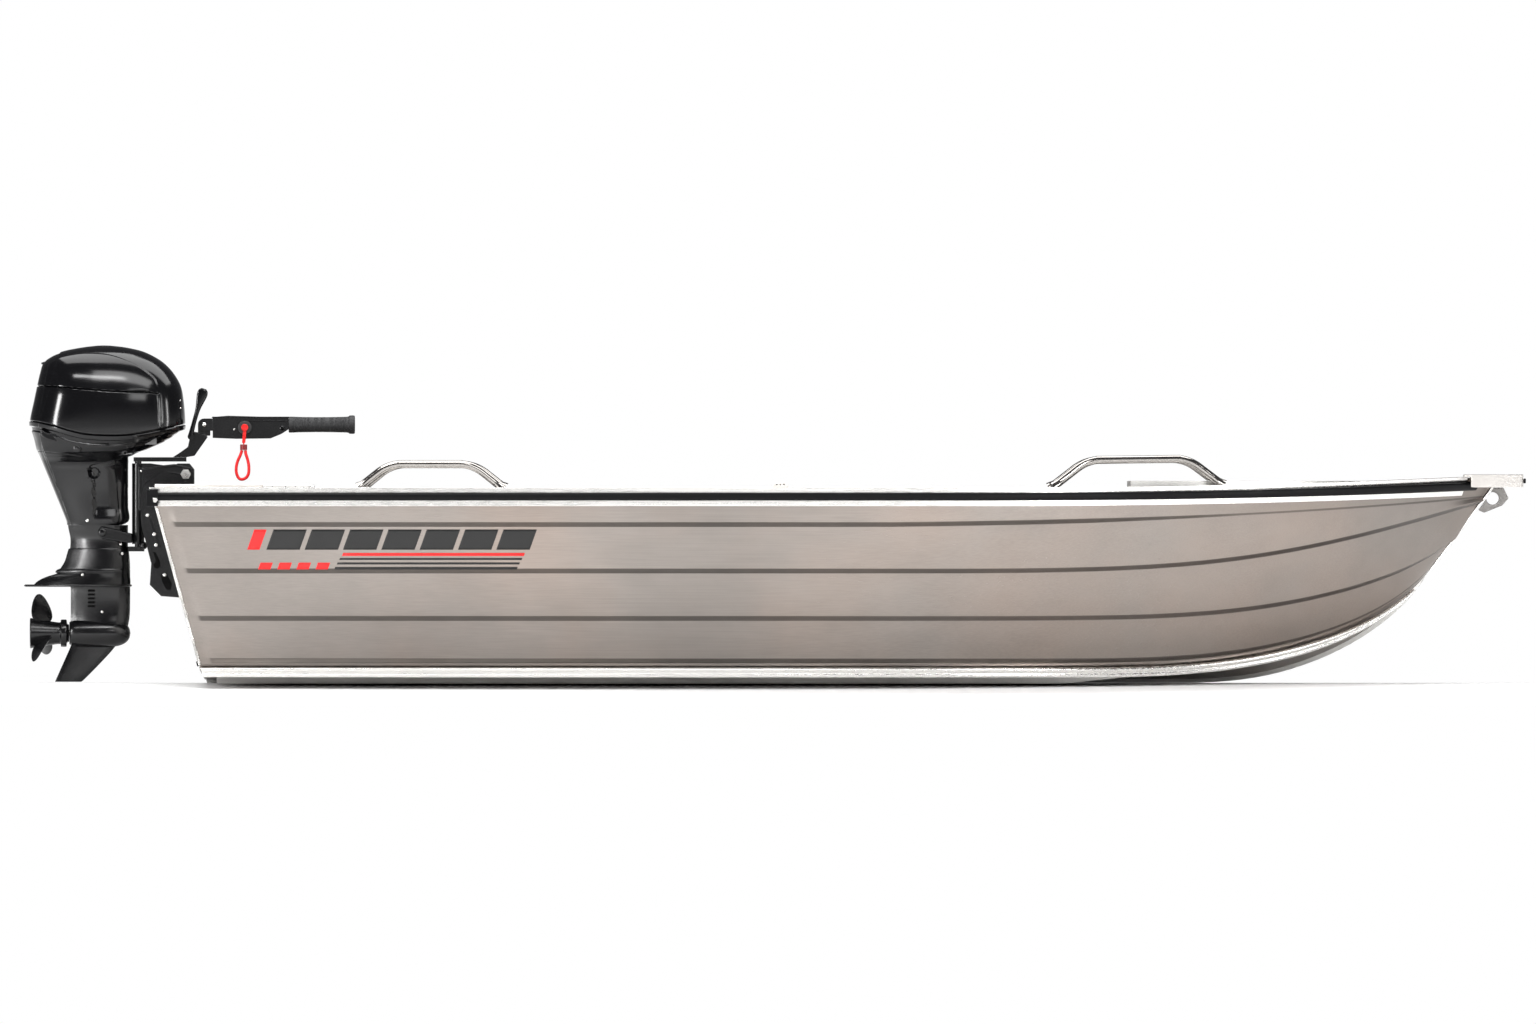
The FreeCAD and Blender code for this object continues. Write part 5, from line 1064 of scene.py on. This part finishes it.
# Brackets and tiller. Black alloy castings: the clamp that grips the transom, the swivel and the
# steering arm on it, the folding tiller and the shift lever. Pins and screws are zinc-plated steel.
for node in ("clamp_brackets", "swivel_bracket", "steering_bracket", "tiller_bracket", "tiller_arm"):
    dressed(node, casting, 0.0025)
clamp_bolts = ((-22, 90.4, 546), (0, 90.4, 484), (6, 90.4, 449), (34, 90.4, 352))
heads("clamp_bolts", "root", both_sides(clamp_bolts), 6.5, bright_screw)
clamp_face, relief_face, rib_face = 86.0, 91.0, 93.0
# The hook's hollow and the window are near-black slabs of painted shade.
clamp_parts = (
    ("hook", relief_face, recess_shade, 0.001, (
        (-4, 428), (6, 424), (14, 408), (20, 392), (20, 380), (12, 372), (2, 374), (-2, 384), (6, 396),
        (2, 410))),
    ("recess", relief_face, gloss, 0.001, (
        (-18, 534), (-8, 536), (16, 470), (24, 440), (14, 440), (-2, 484))),
    ("window", relief_face, recess_shade, 0.001, (
        (22, 352), (40, 358), (58, 322), (54, 302), (40, 304), (26, 330))),
    ("brow", rib_face, casting, 0.002, (
        (-40, 700), (66, 712), (122, 700), (122, 693), (66, 704), (-38, 692))),
    ("rib", rib_face, casting, 0.002, (
        (44, 690), (104, 680), (108, 652), (100, 652), (96, 673), (46, 683))),
)
for word, side in hands:
    for part, face_y, finish, edge, outline in clamp_parts:
        low, high = sorted((side * clamp_face, side * face_y))
        slab(f"clamp_{part}_{word}", "root", outline, low, high, finish, edge)
slab("swivel_head", "swivel", (
    (-53, 706), (-8, 706), (6, 692), (-2, 662), (-16, 640), (-26, 590), (-38, 560), (-53, 560)),
    -22, 22, casting, 0.004)
swivel_bolts = ((-20, 22.2, 694), (-42, 22.2, 690), (-34, 22.2, 612))
heads("swivel_head_bolts", "swivel", both_sides(swivel_bolts), 4.5, bright_screw)
spoon = through((
    (117, 800, 9, 6), (121, 815, 8, 5.5), (130, 850, 7, 5), (141, 888, 8, 4.5), (149, 915, 13, 4.5),
    (155, 935, 17, 4.2), (159, 949, 15.5, 3.6), (161.5, 957, 8, 2.5)), 8) / 1000
lean = unit(np.gradient(spoon[:, :2], axis=0))
turn = np.linspace(0, 2 * np.pi, 28, endpoint=False)
spoon_x = spoon[:, :1] + lean[:, 1:] * spoon[:, 2:3] * np.cos(turn)
spoon_z = spoon[:, 1:2] - lean[:, :1] * spoon[:, 2:3] * np.cos(turn)
spoon_y = -0.043 + spoon[:, 3:] * np.sin(turn)
spoon_rings = to_row(np.stack((spoon_x, spoon_y, spoon_z), -1))
sweep("shift_spoon", "motor", spoon_rings, gloss, replaces="shift_lever", slot="black_casting")
pivot_line = millimetres(((119, -22.5, 801), (119, -36, 801), (119, -48, 801)))
tube("shift_pivot", "motor", pivot_line, 0.0105, casting, 20)
heads("tiller_pivot_bolts", "motor", both_sides(((161.6, 22.4, 840),)), 8.0, bright_screw)
heads("arm_screws", "tiller", both_sides(((260, -22.2, 824),)), 3.5, bright_screw)
heads("arm_ring", "tiller", both_sides(((416, -22.0, 829),)), 8.5, gloss, rise=0.25)
# The ring's core is a near-black dot of painted shade.
heads("arm_ring_core", "tiller", both_sides(((416, -23.4, 829),)), 4.5, recess_shade, rise=0.3)
arm_strips = ((186, 436, 862, 866), (308, 342, 850, 854.5), (350, 434, 850, 854.5))
for number, (x0, x1, z0, z1) in enumerate(arm_strips):
    outline = ((x0, z0), (x1, z0), (x1 + 2, z1), (x0 + 2, z1))
    slabs(f"arm_strip_{number + 1}", "tiller", outline, 19, 23.6, gloss, 0.001)
steel = coat("zinc_steel", 60.0, (0.22, 0.38), (0.62, 0.61, 0.59), metallic=1.0)
for node in ("clamp_screws", "tilt_tube", "propeller_shaft"):
    dressed(node, steel, 0.0008)

# Engine. One plain block under the hood stands for the powerhead's weight, in the grey of a raw iron
# casting. Nothing of it is seen.
raw_iron = coat("raw_engine_casting", 90.0, (0.5, 0.7), (0.10, 0.10, 0.10), (0.16, 0.16, 0.16), 4.0)
dressed("powerhead", raw_iron, 0.002)

# Tiller grip. A sleeve of soft black rubber with fine ribs round it and a flange at the end, moulded
# and pushed on the tiller's tube.
grip_rubber = coat("grip_rubber", 700.0, (0.5, 0.7), (0.016, 0.016, 0.017), detail=2.0, relief=0.0004,
                   specular_ior_level=0.4)
grip_z, rib_depth, rib_spacing = 0.840, 0.0007, 0.0046
grip_profile = through((
    (436.4, 20), (437, 24), (442, 26), (480, 24.8), (540, 24.2), (600, 25), (628, 26.2), (634, 29.5),
    (640, 30), (647, 30), (651, 28), (652, 20), (652.2, 1)), 30) / 1000
along, radius = grip_profile.T
ribbed = fade(along, 0.445, 0.452) * fade(-along, -0.628, -0.622)
radius = radius + rib_depth * np.sin(along / rib_spacing * 2 * np.pi) * ribbed
ring_y, ring_z = radius[:, None] * np.cos(around), grip_z + radius[:, None] * np.sin(around)
grip_points = np.stack((np.broadcast_to(grip_profile[:, :1], ring_y.shape), ring_y, ring_z), -1)
sweep("twist_grip", "tiller", to_row(grip_points), grip_rubber, replaces="tiller_grip", slot="black_rubber")

# Stop switch. A round body moulded in black plastic with a red button, a red clip pushed under the
# button, and the dark red sleeve that holds both ends of the lanyard.
switch_black = coat("switch_plastic", 500.0, (0.35, 0.5), (0.02, 0.02, 0.021), detail=2.0, relief=0.0001)
signal_red = coat("red_plastic", 40.0, (0.25, 0.4), (0.62, 0.008, 0.008), (0.72, 0.012, 0.010), 2.0)
crimp_red = coat("dark_red_sleeve", 60.0, (0.4, 0.55), (0.16, 0.004, 0.005), (0.22, 0.006, 0.007), 2.0)
dressed("stop_switch", switch_black, 0.0015)
dressed("stop_button", signal_red, 0.001)
dressed("lanyard_clip", signal_red, 0.0008)
dressed("lanyard_crimp", crimp_red, 0.0012)

# Grab rails. Polished metal tube, bent at two shoulders, with flared feet that are fixed on the
# gunwale.
polished = coat("polished_tube", 30.0, (0.10, 0.18), (0.30, 0.285, 0.27), detail=4.0, stretch=(0.3, 1, 1),
                metallic=1.0)
rail_radius, rail_bend, foot_inset, foot_flare, foot_spread = 0.0125, 0.046, 0.022, 0.0065, 0.004


def rail_line(ends, shoulder, height, bend):
    """Foot, shoulder, shoulder, foot: straight runs joined by quadratic bends."""
    feet = []
    for x in ends:
        s = np.interp(x, sheer_line(stations)[:, 0], stations)
        foot = sheer_line(np.array((s, s)))[0]
        feet.append(foot - (0, foot_inset, 0))
    run, rise = unit(feet[1] - feet[0]) * shoulder, np.array((0, 0, height))
    corners = [feet[0], feet[0] + run + rise, feet[1] - run + rise, feet[1]]
    line = [corners[0]]
    for before, corner, after in zip(corners, corners[1:], corners[2:]):
        one, two = (corner + unit(other - corner) * bend for other in (before, after))
        t = np.linspace(0, 1, 14)[:, None]
        line.extend(one * (1 - t) ** 2 + 2 * corner * t * (1 - t) + two * t ** 2)
    return np.array(line + [corners[-1]])


grab_rails = (("aft", (0.672, 1.134), 0.096, 0.076), ("fore", (2.916, 3.468), 0.118, 0.087))
for word, ends, shoulder, height in grab_rails:
    for hand, side in hands:
        dense = through(rail_line(ends, shoulder, height, rail_bend) * (1, side, 1), 5)
        spread = np.minimum(*(np.linalg.norm(dense - dense[end], axis=1) for end in (0, -1)))
        radius = rail_radius + foot_flare * np.exp(-spread / foot_spread)
        tube(f"grab_rail_{word}_{hand}", "root", to_row(dense), radius, polished, 20,
             replaces=f"grab_rails_{word}", slot="polished_tube")

# Studio. A white floor that is crowned by a few centimetres, so that a level camera sees the
# contact shadow, white air to the eye, and soft lamps fore and aft that streak the black covers.
class Air(Finish):
    """The world's background, with the same way to add nodes as a material's."""

    def __init__(self, world):
        self.tree = world.node_tree
        self.shader = self.tree.nodes["Background"]


floor_crown, floor_half_length, floor_half_width = 0.045, 9.0, 6.0
paper = Finish("studio_floor", roughness=1.0, specular_ior_level=0.0, base_color=(0.94, 0.94, 0.94))
along_floor, over_floor = paper.axis(0), paper.axis(1)
far_out = (along_floor * along_floor * 0.07 + over_floor * over_floor * 0.16).step(0.8, 2.0)
camera_ray, glossy_ray = (paper.add("ShaderNodeLightPath", {}, {}, i) for i in (0, 3))
seen = camera_ray.maths("MAXIMUM", glossy_ray)
paper.set(emission_color=paper.mix(far_out * seen, (0, 0, 0), (1, 1, 1)), emission_strength=1.0)
lane = np.linspace(-floor_half_width, floor_half_width, 241)
lane_z = -floor_crown * fade(np.abs(lane), 0.15, 1.25)
floor_edges = [np.stack((0 * lane + x, lane, lane_z), -1) for x in (floor_half_length, -floor_half_length)]
floor_mesh = bpy.data.meshes.new("studio_floor")
floor_mesh.from_pydata(np.concatenate(floor_edges).tolist(), [], grid_faces(2, len(lane)))
floor_mesh.shade_smooth()
floor_mesh.materials.append(paper.material)
placed("studio_floor", floor_mesh)


def softbox(name, place, aim, size, power):
    """A rectangular lamp at a place, turned to face a point."""
    data = bpy.data.lights.new(name, "AREA")
    data.shape = "RECTANGLE"
    data.size, data.size_y = size
    data.energy = power
    lamp = placed(name, data)
    place, aim = np.array(place, float), np.array(aim, float)
    lamp.location = place
    back = unit(place - aim)
    right = unit(np.cross((0, 0, 1) if abs(back[2]) < 0.99 else (0, 1, 0), back))
    up = np.cross(back, right)
    lamp.rotation_euler = Matrix(np.stack((right, up, back), 1).tolist()).to_euler()


for lamp in (
        ("overhead_box", (0.0, 0.2, 4.4), (0, 0, 0), (7.4, 2.6), 330),
        ("aft_overhead_box", (-1.5, -1.9, 2.6), (-1.3, -0.8, 0), (1.8, 0.8), 34),
        ("camera_box", (0.15, -7.5, 3.6), (0, 0, 0.3), (2.4, 2.0), 90),
        ("stern_strip", (-5.2, -3.2, 1.3), (-2.1, 0, 0.8), (0.45, 2.4), 140),
        ("bow_strip", (1.9, -3.4, 1.5), (-1.9, 0, 0.9), (0.30, 2.0), 45),
        ("high_strip", (-2.6, -2.6, 3.2), (-2.2, 0, 0.95), (1.6, 0.25), 25),
        ("bow_side_strip", (5.0, -3.2, 1.2), (1.9, 0, 0.4), (0.5, 2.6), 80)):
    softbox(*lamp)
world = bpy.data.worlds.new("studio_air")
world.use_nodes = True
bpy.context.scene.world = world
air = Air(world)
sky = air.add("ShaderNodeSeparateXYZ", {}, {0: air.add("ShaderNodeTexCoord", {}, {}, 0)}, 2)
mirrored_air = air.mix(sky.step(-0.06, 0.10), (1, 1, 1), (0.12, 0.12, 0.125))
soft_air = air.mix(sky.step(0.0, 0.6), (0.06, 0.06, 0.06), (0.50, 0.50, 0.50))
is_camera, is_glossy = (air.add("ShaderNodeLightPath", {}, {}, i) for i in (0, 3))
air.set(color=air.mix(is_camera, air.mix(is_glossy, soft_air, mirrored_air), (1, 1, 1)))
bpy.context.scene.view_settings.view_transform = "Standard"
